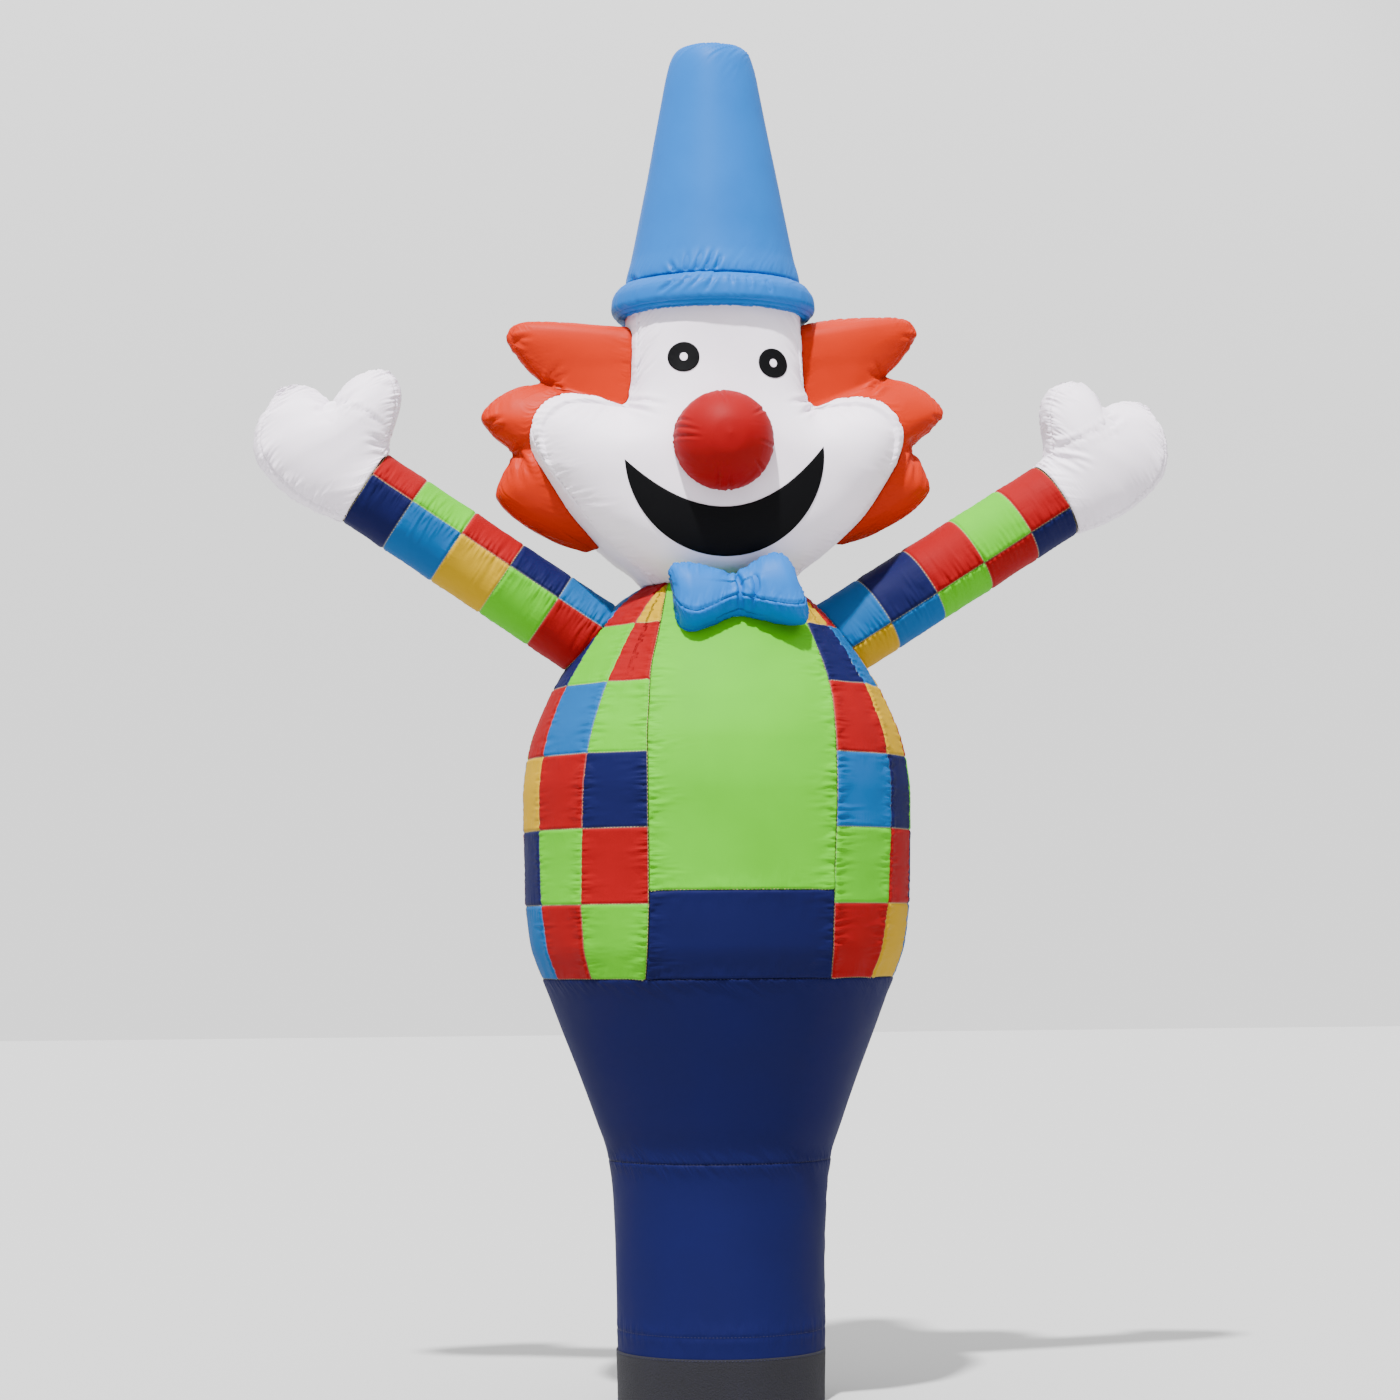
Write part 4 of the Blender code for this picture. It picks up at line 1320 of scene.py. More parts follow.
FINISHES = {
    # finish: how it is made, the colour that it takes
    "navy nylon": (functools.partial(nylon, roughness=0.66), "navy"),
    "lime nylon": (functools.partial(nylon, roughness=0.66, whitening_and_highlight_share=0.07), "lime"),
    "patchwork nylon": (
        functools.partial(nylon, patch=True, roughness=0.66, whitening_and_highlight_share=0.07),
        "red",
    ),
    "white nylon": (nylon, "white"),
    "red nylon": (functools.partial(nylon, roughness=0.55), "red"),
    "orange nylon": (nylon, "orange"),
    "sky blue nylon": (nylon, "sky"),
    "black nylon": (functools.partial(nylon, roughness=0.6), "black"),
    "hook-and-loop tape": (hook_tape, "charcoal"),
    "cream thread": (polyester_thread, "cream"),
    "white thread": (polyester_thread, "white"),
    "navy thread": (polyester_thread, "navy"),
    "orange thread": (polyester_thread, "orange"),
    "blue thread": (polyester_thread, "sky"),
    "red thread": (polyester_thread, "red"),
}


def finish(name):
    """The named finish, made when it is first asked for."""
    maker, colour = FINISHES[name]
    found = bpy.data.materials.get(name)
    return found or maker(name, tuple(getattr(bpy.context.scene.air_dancer_cloth, colour)))


# ---------------------------------------------------------------- making a piece


def plain_object(name, mesh):
    """A mesh as an object at the origin."""
    mesh.name = name
    made = bpy.data.objects.new(name, mesh)
    bpy.context.scene.collection.objects.link(made)
    return made


def declare(name, cloth, mesh):
    """Makes a panel's mesh the cloth that stands for its solid, which it hides; its flat cut is
    worked out but not kept.
    """
    made = plain_object(name + "_cloth", mesh)
    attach(made, BODY)
    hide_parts(name)
    width, length, area = cloth.cut()


def sew(name, cloth, cloth_finish, slot, thread=None, **puckers):
    """puckers holds shares of the usual depth, spacing, reach and groove, and the sag,
    which is how far the cloth wanders from its shape, in metres.
    """
    sizes = bpy.context.scene.air_dancer_cloth
    values = {
        "Depth": puckers.get("depth", 1.0) * sizes.depth,
        "Spacing": puckers.get("spacing", 1.0) * sizes.spacing,
        "Reach": puckers.get("reach", 1.0) * sizes.reach,
        "Groove": puckers.get("groove", 1.0) * sizes.groove,
        "Groove width": GROOVE_WIDTH,
        "Sag": puckers.get("sag", 0.004),
        "Seed": float(len(name)),
        "Cloth": finish(cloth_finish),
    }
    tree = found_tree("Seam puckers", pucker_tree)
    mesh = through_nodes(name, cloth_mesh(name, cloth, sizes.skin), tree, values)
    if thread:
        values = {
            "Pitch": sizes.stitch_pitch,
            "Length": sizes.stitch_length,
            "Radius": sizes.thread,
            "Lift": STITCH_LIFT,
            "Thread": finish(thread),
        }
        tree = found_tree("Lockstitch", stitch_tree)
        rows = through_nodes(name + "_stitches", mesh.copy(), tree, values)
        stitches = plain_object(name + "_stitches", rows)
        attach(stitches, BODY)
    declare(name, cloth, mesh)


def trimmed(line, distances, margin):
    """The stretch of a line that lies more than a margin outside a surface."""
    outside = np.array(distances) > margin
    first = int(np.argmax(outside))
    last = len(outside) - 1 - int(np.argmax(outside[::-1]))
    way = travel(line)
    start, stop = way[first], way[last]
    if first > 0:
        a, b = distances[first - 1], distances[first]
        start = way[first - 1] + (way[first] - way[first - 1]) * (margin - a) / (b - a)
    if last < len(outside) - 1:
        a, b = distances[last], distances[last + 1]
        stop = way[last] + (way[last + 1] - way[last]) * (a - margin) / (a - b)
    return way, start, stop


def height_over(tree, point):
    """How far a point is outside a surface; negative within it."""
    near, normal, _, _ = tree.find_nearest(Vector(point))
    return (Vector(point) - near).dot(normal)


def resampled(line, way, at):
    """The points of a line at places along it."""
    return np.stack([np.interp(at, way, line[:, k]) for k in range(3)], axis=1)


# ---------------------------------------------------------------- the round body


def body_radius(z):
    """The body's radius at each height."""
    table = np.array(BODY_PROFILE)
    return curve_through(table[:, 0], table[:, 1], np.clip(z, 0.0, NECK_SEAM_Z))


def front_edge(side, z):
    """The angle from the front of the front panels' seam on one side, in degrees."""
    table = np.array(FRONT_EDGES)
    column = 1 if side == "left" else 2
    away = curve_through(table[:, 0], table[:, column], z)
    return TURN[side] * np.degrees(np.arcsin(away / body_radius(z)))


def body_grid(heights, marks, places):
    """Points on the round body: rows by height, columns between marks of angle.

    marks holds one row of angles in degrees for each height; places says where
    each column lies between them, 1.5 being halfway from mark 1 to mark 2.
    """
    radius = body_radius(heights)
    rows = []
    for z, r, angles in zip(heights, radius, marks):
        phi = np.radians(np.interp(places, range(len(angles)), angles))
        rows.append(
            np.stack([r * np.sin(phi), -r * np.cos(phi), np.full(phi.shape, z)], axis=1)
        )
    return np.array(rows)


def ring_of_cloth(low, high, count, marks=(), grid="ring", seam_deg=180.0):
    """A whole ring of the round body, with its own seam at an angle."""
    heights, rows = stops([low, *marks, high], *ROW_STEPS[grid])
    angles = seam_deg + 360.0 * np.arange(count + 1) / count
    points = body_grid(heights, np.repeat(angles[None], len(heights), 0), np.arange(count + 1))
    return points, rows


def build_lower_body():
    """The two rings of cloth below the waist seam, and the tape round the foot."""
    points, rows = ring_of_cloth(
        HEM_FOOT_Z, TROUSER_SEAM_Z - SEAM_GAP, 300, (HEM_SEAM_Z,), seam_deg=BASE_SEAM_DEG
    )
    cloth = Cloth(points, True, [(0, 0.6)], [(rows[0], 0.3), (rows[1], 0.5), (rows[2], 0.7)])
    cloth.sewn_rows = rows[1:]
    quiet = {"thread": "navy thread", "depth": 0.6, "groove": 0.3}
    sew("base_sleeve", cloth, "navy nylon", "navy_cloth", **quiet)
    points, rows = ring_of_cloth(TROUSER_SEAM_Z + SEAM_GAP, WAIST_SEAM_Z - SEAM_GAP, 400)
    cloth = Cloth(points, True, [(0, 0.8)], [(rows[0], 0.7), (rows[1], 0.8)])
    sew("trousers", cloth, "navy nylon", "navy_cloth", **quiet)
    points, rows = ring_of_cloth(*BAND_Z, 240, grid="band")
    middle = points * (1, 1, 0)
    middle /= np.linalg.norm(middle, axis=2, keepdims=True)
    sizes = bpy.context.scene.air_dancer_cloth
    points = points + middle * (BAND_GAP + sizes.skin)
    # its stitches run one row inside its edges
    cloth = Cloth(points, True, rows=[(rows[0] + 1, 0.0), (rows[1] - 1, 0.0)])
    sew(
        "closure_band",
        cloth,
        "hook-and-loop tape",
        "closure_tape",
        thread="navy thread",
        groove=0.3,
        sag=0.0005,
    )


def build_front_panels():
    """The lime panel over the belly and the navy one under it."""
    panels = (
        # name, foot, top, finish, slot, how strongly its sides gather, thread of its foot
        ("waist_panel", WAIST_SEAM_Z, BELLY_SEAM_Z, "navy nylon", "navy_cloth", 0.8, None),
        ("belly_panel", BELLY_SEAM_Z, NECK_SEAM_Z, "lime nylon", "lime_cloth", 1.0, "cream thread"),
    )
    for name, low, high, cloth_finish, slot, pull, thread in panels:
        heights, rows = stops([low + SEAM_GAP, high - SEAM_GAP], *ROW_STEPS["front"])
        places, columns = stops([0.0, 1.0], *COLUMN_STEPS["front"])
        edges = [front_edge(side, heights) - TURN[side] * SEAM_GAP_DEG for side in TURN]
        cloth = Cloth(
            body_grid(heights, np.stack(edges, 1), places),
            columns=[(columns[0], pull), (columns[1], pull)],
            rows=[(rows[0], 0.5), (rows[1], 0.4)],
        )
        cloth.sewn_columns = []
        cloth.sewn_rows = [rows[0]] if thread else []
        sew(name, cloth, cloth_finish, slot, thread=thread)


def patch_marks(side, heights):
    """The angles of the seams between the columns of patches, at each height."""
    (foot, top), others = COLUMN_SEAMS[side]
    share = (heights - WAIST_SEAM_Z) / (NECK_SEAM_Z - WAIST_SEAM_Z)
    first = front_edge(side, heights) + TURN[side] * SEAM_GAP_DEG
    leaning = foot + (top - foot) * share
    fixed = np.repeat(np.array(others)[None], len(heights), 0)
    return np.column_stack([first, leaning, fixed])


def patch_paint(colours, rows, columns):
    """The colour of each quad of a grid whose seams are at the given places."""
    sizes = bpy.context.scene.air_dancer_cloth
    paint = np.zeros((rows[-1], columns[-1], 3))
    for i, strip in enumerate(colours):
        for j, colour in enumerate(strip):
            block = paint[rows[j] : rows[j + 1], columns[i] : columns[i + 1]]
            block[:] = tuple(getattr(sizes, colour))
    return paint


def build_patchwork(side):
    """One side of the body from the front panels to the back seam, in patches."""
    marks = list(PATCH_ROWS_Z)
    marks[0] += SEAM_GAP
    marks[-1] -= SEAM_GAP
    heights, rows = stops(marks, *ROW_STEPS["patchwork"])
    angles = patch_marks(side, heights)
    last = angles.shape[1] - 1
    places, columns = stops(np.arange(last + 1.0), *COLUMN_STEPS["patchwork"])
    cloth = Cloth(
        body_grid(heights, angles, places),
        columns=list(zip(columns, PATCH_PULLS)),
        rows=[(place, 0.35) for place in rows],
    )
    cloth.paint = patch_paint(PATCHES[side], rows, columns)
    if side == "left":
        # the seam at the back shows the right half's stitches
        cloth.sewn_columns = cloth.sewn_columns[:-1]
    name = "patchwork_" + side
    sew(name, cloth, "patchwork nylon", "patchwork_cloth", thread="cream thread")


# ---------------------------------------------------------------- arms and hands


def arm_ends(side):
    """The shoulder and the cuff on one side, as (x, z)."""
    turn = TURN[side]
    shoulder = np.array([turn * SHOULDER[0], SHOULDER[1]])
    cuff = np.array([turn * CUFF[0], CUFF[1] + CUFF_LIFT[side]])
    return shoulder, cuff


def arm_axes(side):
    """The cuff, the way outwards along the arm, and the way up across it, as (x, z)."""
    shoulder, cuff = arm_ends(side)
    along = (cuff - shoulder) / np.linalg.norm(cuff - shoulder)
    upward = np.array([-along[1], along[0]]) * TURN[side]
    return cuff, along, upward, np.linalg.norm(cuff - shoulder)


def build_sleeve(side):
    """A patchwork tube from the cuff to where it is sewn on the round body."""
    cuff, along, upward, length = arm_axes(side)
    angles, columns = stops(SLEEVE_SEAMS_DEG[side], *COLUMN_STEPS["sleeve"])
    fine = np.linspace(CUFF_INSET, length + SLEEVE_BEYOND, 900)
    radius = CUFF_RADIUS + (SHOULDER_RADIUS - CUFF_RADIUS) * fine / length
    tubes = []
    ends = []
    for angle in np.radians(angles):
        flat = cuff - along * fine[:, None] + upward * (radius * np.sin(angle))[:, None]
        line = np.stack([flat[:, 0], -radius * np.cos(angle), flat[:, 1]], axis=1)
        over = np.hypot(line[:, 0], line[:, 1]) - body_radius(line[:, 2])
        ends.append(fine[int(np.argmax(over < CLEAR["sleeve"]))])
        tubes.append(line)
    # even rings up to the last seam, and from there each line runs on to its own end
    seams = [CUFF_INSET, *RING_SEAMS[side]]
    fixed, rows = stops(seams, SLEEVE_STEP)
    steps = 1 + round((float(np.mean(ends)) - seams[-1]) / SLEEVE_STEP)
    share = np.linspace(0.0, 1.0, steps + 1)[1:]
    rows = [*rows, rows[-1] + steps]
    lines = []
    for line, end in zip(tubes, ends):
        at = np.concatenate([fixed, seams[-1] + (end - seams[-1]) * share])
        lines.append(resampled(line, fine, at))
    cloth = Cloth(
        np.stack(lines, axis=1),
        True,
        [(place, 1.0 if i == 0 else 0.4) for i, place in enumerate(columns[:-1])],
        [(place, 0.3) for place in rows],
    )
    cloth.paint = patch_paint(SLEEVE_PATCHES[side], rows, columns)
    sew(
        "sleeve_" + side,
        cloth,
        "patchwork nylon",
        "patchwork_cloth",
        thread="cream thread",
        reach=1.3,
        spacing=0.75,
    )


def build_hand(side):
    """A mitt with a front and a back sewn to a strip along its edge."""
    cuff, along, upward, _ = arm_axes(side)
    table = np.array(HAND_RINGS[side])
    way = travel(table[:, 2:6])
    at, _ = stops([way[0], way[-1]], *ROW_STEPS["hand"])
    rings = curve_through(way, table, at)
    edge = HAND_SEAM_DEG
    marks = [0.0, edge, 180.0 - edge, 180.0, 180.0 + edge, 360.0 - edge, 360.0]
    angles, columns = stops(marks, *COLUMN_STEPS["hand"])
    phi = np.radians(angles)
    rows = []
    for mid_u, mid_v, thumb_u, thumb_v, finger_u, finger_v, depth, arch in rings:
        spots = [
            cuff + along * u + upward * v
            for u, v in ((mid_u, mid_v), (thumb_u, thumb_v), (finger_u, finger_v))
        ]
        rows.append(section(*spots, max(depth, 0.0), HAND_POWER, phi, -TURN[side] * arch))
    seams = [(columns[i], 1.0) for i in (1, 2, 4, 5)]
    last = len(rings) - 1
    cloth = Cloth(
        np.array(rows), True, seams, [(0, 0.5), (last, 0.8)], ends=("open", "fold")
    )
    name = "hand_" + side
    cloth.crease(CREASES[name + " seam"], depth=0.0065, width=0.0046)
    cloth.crease(CREASES[name], depth=0.007)
    sew(
        name,
        cloth,
        "white nylon",
        "white_cloth",
        thread="white thread",
        depth=1.1,
        spacing=0.7,
    )


# ---------------------------------------------------------------- the head


def blur_shares(reach, step):
    """How many rows a blur takes in on each side, and the share of each in it."""
    count = max(1, round(3 * reach / step))
    offsets = np.arange(-count, count + 1) * step
    weights = np.exp(-0.5 * (offsets / reach) ** 2)
    return count, weights / weights.sum()


def blurred(long, weights):
    """Mixes each row with its neighbours; the rows beyond both ends are already there."""
    rows = len(long) - len(weights) + 1
    return sum(weight * long[i : i + rows] for i, weight in enumerate(weights))


def eased(points, reach):
    """Rounds a grid from row to row over a reach, and keeps its first and last row."""
    count, weights = blur_shares(reach, HEAD_STEP)
    before = 2 * points[:1] - points[count:0:-1]
    after = 2 * points[-1:] - points[-2 : -count - 2 : -1]
    return blurred(np.concatenate([before, points, after]), weights)


def brow_depths(rings):
    """The head's half depth by x and z, blurred, and the x and z that it is given at."""
    across = np.arange(0.0, BROW_ACROSS, BROW_STEP)
    up = np.arange(HEAD_RINGS[0][0], HEAD_RINGS[-1][0], BROW_STEP)
    field = []
    for x in across:
        middle, side, half, depth, power = rings[rings[:, 2] > x].T
        if not len(half):
            field.append(np.zeros_like(up))
            continue
        share = x / half
        z = np.maximum.accumulate(middle + (side - middle) * share**HEAD_BEND)
        y = depth * (1 - share**power) ** (1 / power)
        field.append(np.interp(up, z, y, right=0.0))
    field = np.array(field)
    for axis, reach in ((1, BROW_EASE[0]), (0, BROW_EASE[1])):
        field = np.moveaxis(field, axis, 0)
        count, weights = blur_shares(reach, BROW_STEP)
        # across, the other half of the head comes before the middle
        before = field[count:0:-1] if axis == 0 else np.repeat(field[:1], count, 0)
        long = np.concatenate([before, field, np.repeat(field[-1:], count, 0)])
        field = np.moveaxis(blurred(long, weights), 0, axis)
    return field, across, up


def looked_up(field, row, column):
    """A table's values at places between its rows and columns."""
    row = np.clip(row, 0, field.shape[0] - 1.001)
    column = np.clip(column, 0, field.shape[1] - 1.001)
    up, left = row.astype(int), column.astype(int)
    down_share, right_share = row - up, column - left
    at_left = field[up, left] * (1 - down_share) + field[up + 1, left] * down_share
    at_right = field[up, left + 1] * (1 - down_share) + field[up + 1, left + 1] * down_share
    return at_left * (1 - right_share) + at_right * right_share


def soften_brow(points, rings):
    """Runs the forehead out into the cheeks without a ledge."""
    field, across, up = brow_depths(rings)
    x, deep, z = np.abs(points[..., 0]), np.abs(points[..., 1]), points[..., 2]
    soft = looked_up(field, (x - across[0]) / BROW_STEP, (z - up[0]) / BROW_STEP)
    least, most = BROW_SHARES
    soft = np.clip(soft, least * deep, most * deep)
    soft = np.maximum(soft, np.minimum(deep, CHEEK_DEPTH))
    share = smooth(np.interp(z, BROW_Z, (0.0, 1.0, 1.0, 0.0)))
    points[..., 1] = np.sign(points[..., 1]) * (deep + (soft - deep) * share)


def side_seams(angle):
    """The angles of the head's seams, an angle off its sides, and of one more at each end."""
    return [-angle, angle, 180 - angle, 180 + angle, 360 - angle, 360 + angle]


def head_grid(angles):
    """Points on the head by angle; 270 degrees is its front."""
    table = np.array(HEAD_RINGS)
    way = travel(table[:, [1, 2]])
    at, _ = stops([way[0], way[-1]], HEAD_STEP)
    rings = curve_through(way, table, at)
    rows = []
    seams = np.array(FACE_SEAMS)
    seams = curve_through(seams[:, 0], seams[:, 1], rings[:, 0])
    for (middle, side, half, depth, power), seam in zip(rings, seams):
        drawn, real = side_seams(FACE_SEAM_DEG), side_seams(seam)
        turned = np.radians(np.interp(np.degrees(angles), drawn, real))
        share = squared(np.cos(turned), power)
        z = middle + (side - middle) * np.abs(share) ** HEAD_BEND
        rows.append(np.stack([half * share, depth * squared(np.sin(turned), power), z], 1))
    points = eased(np.array(rows), OUTLINE_EASE)
    soften_brow(points, rings)
    return points


def head_tree():
    """The whole head as a search tree."""
    return Cloth(head_grid(np.radians(np.arange(0, 361, 3))), True).tree()


def build_head():
    """The face, the panel behind it, and the strips between them at the sides."""
    seam = FACE_SEAM_DEG
    parts = (
        # name, first and last angle, columns
        ("face_panel", 180.0 + seam, 360.0 - seam, 112),
        ("head_side_right", -seam, seam, 24),
        ("head_back", seam, 180.0 - seam, 44),
        ("head_side_left", 180.0 - seam, 180.0 + seam, 24),
    )
    for name, first, last, count in parts:
        marks = [first + HEAD_GAP_DEG, last - HEAD_GAP_DEG]
        angles, columns = stops(marks, (last - first) / count, HEAD_PINCH)
        points = head_grid(np.radians(angles))
        end = len(points) - 1
        pull = 0.7 if name == "face_panel" else 0.4
        cloth = Cloth(
            points,
            columns=[(columns[0], pull), (columns[1], pull)],
            rows=[(0, 0.5), (end, 0.3)],
        )
        cloth.sewn_columns = columns if name in ("face_panel", "head_back") else []
        cloth.sewn_rows = [0]
        cloth.crease(CREASES.get(name, ()))
        sew(
            name,
            cloth,
            "white nylon",
            "white_cloth",
            thread="white thread",
            reach=1.6,
            depth=1.3,
            spacing=0.75,
            sag=0.003,
        )


def crescent():
    """The mouth as a grid between a flatter curve and a half oval that share their tips."""
    tilt = math.radians(MOUTH_TILT_DEG)
    upper, lower = MOUTH_DROPS
    around = np.linspace(0.0, math.pi, 121)
    x = -MOUTH_HALF_WIDTH * np.cos(around)
    lip, chin = -upper * np.sin(around) ** 2, -lower * np.sin(around)
    rows = []
    for share in np.linspace(0.0, 1.0, 23):
        z = lip + (chin - lip) * share
        rows.append(
            np.stack(
                [
                    MOUTH[0] + x * math.cos(tilt) - z * math.sin(tilt),
                    MOUTH[1] + x * math.sin(tilt) + z * math.cos(tilt),
                ],
                axis=1,
            )
        )
    return np.array(rows)


def disc(middle, half):
    """An oval as a grid from its rim to its middle."""
    around = np.linspace(0.0, 2 * math.pi, 65)
    rim_line = np.stack([half[0] * np.cos(around), half[1] * np.sin(around)], axis=1)
    shares = np.linspace(1.0, 0.0, 13)
    return np.array(middle) + rim_line[None] * shares[:, None, None]


def on_face(tree, flat, lift):
    """A flat (x, z) grid laid on the face, a lift in front of it."""
    spots = []
    for x, z in flat.reshape(-1, 2):
        hit, _, _, _ = tree.ray_cast(Vector((x, -1.0, z)), Vector((0, 1, 0)))
        spots.append(hit - Vector((0, 1, 0)) * lift)
    return np.array(spots).reshape(*flat.shape[:2], 3)


def build_face_details():
    """The mouth, the eyes and the pupils, each cut out and sewn on."""
    face = bpy.data.objects["face_panel_cloth"].data
    spots = [vertex.co for vertex in face.vertices]
    tree = BVHTree.FromPolygons(spots, [polygon.vertices for polygon in face.polygons])
    shapes = [("mouth", crescent(), FLAT_LIFT, "black")]
    for side, spot in EYES.items():
        shapes.append(("eye_" + side, disc(spot, EYE_HALF), FLAT_LIFT, "black"))
        shapes.append(("pupil_" + side, disc(spot, PUPIL_HALF), PUPIL_LIFT, "white"))
    for name, flat, lift, colour in shapes:
        points = on_face(tree, flat, lift)
        end = len(points) - 1
        if name == "mouth":
            cloth = Cloth(points, rows=[(0, 0.0), (end, 0.0)])
            cloth.box = float(np.ptp(flat[..., 0])), float(np.ptp(flat[..., 1]))
        else:
            cloth = Cloth(points, True, rows=[(0, 0.0)], ends=("open", "pole"))
        if cloth.normals[..., 1].mean() > 0:
            cloth.normals, cloth.flip = -cloth.normals, not cloth.flip
        sew_flat(name, cloth, colour + " nylon")


def sew_flat(name, cloth, cloth_finish):
    """Makes a flat shape that is sewn on another, thin and without puckers."""
    mesh = cloth_mesh(name, cloth, FLAT_SKIN)
    mesh.materials.append(finish(cloth_finish))
    declare(name, cloth, mesh)


def build_nose():
    """A ball gathered at the ring where it is sewn to the face."""
    tree = head_tree()
    table = np.array(NOSE_PROFILE)
    way = travel(table * (1.0, NOSE_RADIUS))
    fine = curve_through(way, table, np.linspace(0, way[-1], 400))
    around = np.radians(np.arange(0, 361, 1.5))
    at, _ = stops([0.0, 1.0], *ROW_STEPS["nose"])
    lines = []
    for angle in around:
        radius = fine[:, 1] * NOSE_RADIUS
        line = np.stack(
            [
                NOSE[0] + radius * math.cos(angle),
                FACE_FRONT_Y - fine[:, 0],
                NOSE[1] + radius * math.sin(angle),
            ],
            axis=1,
        )
        distances = [height_over(tree, p) for p in line]
        along, start, stop = trimmed(line, distances, CLEAR["nose"])
        lines.append(resampled(line, along, start + (stop - start) * at))
    points = np.stack(lines, axis=1)
    end = len(points) - 1
    cloth = Cloth(points, True, rows=[(end, 1.0)], ends=("pole", "open"))
    cloth.crease(CREASES["nose"], depth=0.0026, width=0.0036)
    sew(
        "nose",
        cloth,
        "red nylon",
        "red_cloth",
        thread="red thread",
        reach=2.2,
        depth=0.3,
        spacing=0.6,
        sag=0.002,
    )


def build_hair(side):
    """Three spikes, sewn along their edge and on the side of the head."""
    tree = head_tree()
    table = np.array(HAIR_ROWS)
    way = travel(table[:, :2])
    at, _ = stops([way[0], way[-1]], *ROW_STEPS["hair"])
    rows = curve_through(way, table, at)
    shift_x, shift_z = HAIR_SHIFT[side]
    seam = HAIR_SEAM_DEG / 180.0
    places, columns = stops([0.0, seam, 1.0], *COLUMN_STEPS["hair"])
    fine = np.radians(np.linspace(0.0, 180.0, 181))
    points = []
    for edge_x, edge_z, root_x, root_z, depth in rows:
        share = np.sin(fine)
        x = root_x + (edge_x + shift_x - root_x) * share
        z = root_z + (edge_z + shift_z - root_z) * share
        line = np.stack([TURN[side] * x, depth * np.cos(fine), z], axis=1)
        distances = [height_over(tree, p) for p in line]
        along, start, stop = trimmed(line, distances, CLEAR["hair"])
        middle = np.interp(math.radians(HAIR_SEAM_DEG), fine, along)
        ends = np.interp(places, [0.0, seam, 1.0], [start, middle, stop])
        points.append(resampled(line, along, ends))
    points = np.array(points)
    end = len(points) - 1
    cloth = Cloth(
        points,
        columns=[(columns[0], 0.5), (columns[1], 0.8), (columns[2], 0.5)],
        rows=[(0, 0.3), (end, 0.3)],
    )
    cloth.sewn_columns = [columns[1]]
    cloth.sewn_rows = []
    out, up = HAIR_CREASE_SHIFT[side]
    creases = [
        (TURN[side] * (x0 + out), z0 + up, TURN[side] * (x1 + out), z1 + up)
        for x0, z0, x1, z1 in HAIR_CREASES
    ]
    cloth.crease(creases, depth=0.006)
    sew(
        "hair_" + side,
        cloth,
        "orange nylon",
        "orange_cloth",
        thread="orange thread",
        depth=0.5,
        reach=1.2,
        sag=0.003,
    )


def build_bow_tie():
    """A boxed pillow drawn in at its middle, pressed against the chin and the belly."""
    tree = head_tree()
    table = np.array(BOW_RINGS)
    way = travel((table[:, :2] + table[:, 2:4]) / 2)
    at, _ = stops([way[0], way[-1]], *ROW_STEPS["bow_tie"])
    rings = curve_through(way, table, at)
    angles, columns = stops(BOW_SEAMS_DEG, *COLUMN_STEPS["bow_tie"])
    phi = np.radians(angles)
    share = squared(np.cos(phi), BOW_POWER)
    rows = []
    for top_x, top_z, bottom_x, bottom_z, depth in rings:
        top, bottom = np.array([top_x, top_z]), np.array([bottom_x, bottom_z])
        ring = section((top + bottom) / 2, top, bottom, depth, BOW_POWER, phi)
        seam = 2 * BOW_STRIP / np.linalg.norm(top - bottom) - 1
        lean = np.where(np.sin(phi) < 0, seam * (1 - np.abs(share)), 0.0)
        ring[:, [0, 2]] += (top - bottom) / 2 * lean[:, None]
        rows.append(ring)
    points = np.array(rows) + (0.0, BOW_Y, 0.0)
    # at both ends the front and the back meet
    for end in (0, -1):
        points[end] = (points[end] + points[end][::-1]) / 2
    margin = CLEAR["bow_tie"]
    for spot in points.reshape(-1, 3):
        radius = math.hypot(spot[0], spot[1])
        least = float(body_radius(min(spot[2], NECK_SEAM_Z))[0]) + margin
        if spot[2] < NECK_SEAM_Z and radius < least:
            spot[:2] *= least / radius
        near, normal, _, _ = tree.find_nearest(Vector(spot))
        over = (Vector(spot) - near).dot(normal)
        if over < margin:
            spot[:] = near + normal * margin
    seams = [(columns[i], 0.9) for i in (1, 2, 4, 5)]
    end = len(points) - 1
    cloth = Cloth(points, True, seams, [(0, 0.4), (end, 0.4)], ends=("fold", "fold"))
    cloth.sewn_rows = []
    cloth.crease(CREASES["bow_tie"], depth=0.010)
    sew(
        "bow_tie",
        cloth,
        "sky blue nylon",
        "blue_cloth",
        thread="blue thread",
        depth=1.2,
        spacing=0.7,
        reach=0.6,
        sag=0.002,
    )


# ---------------------------------------------------------------- the hat


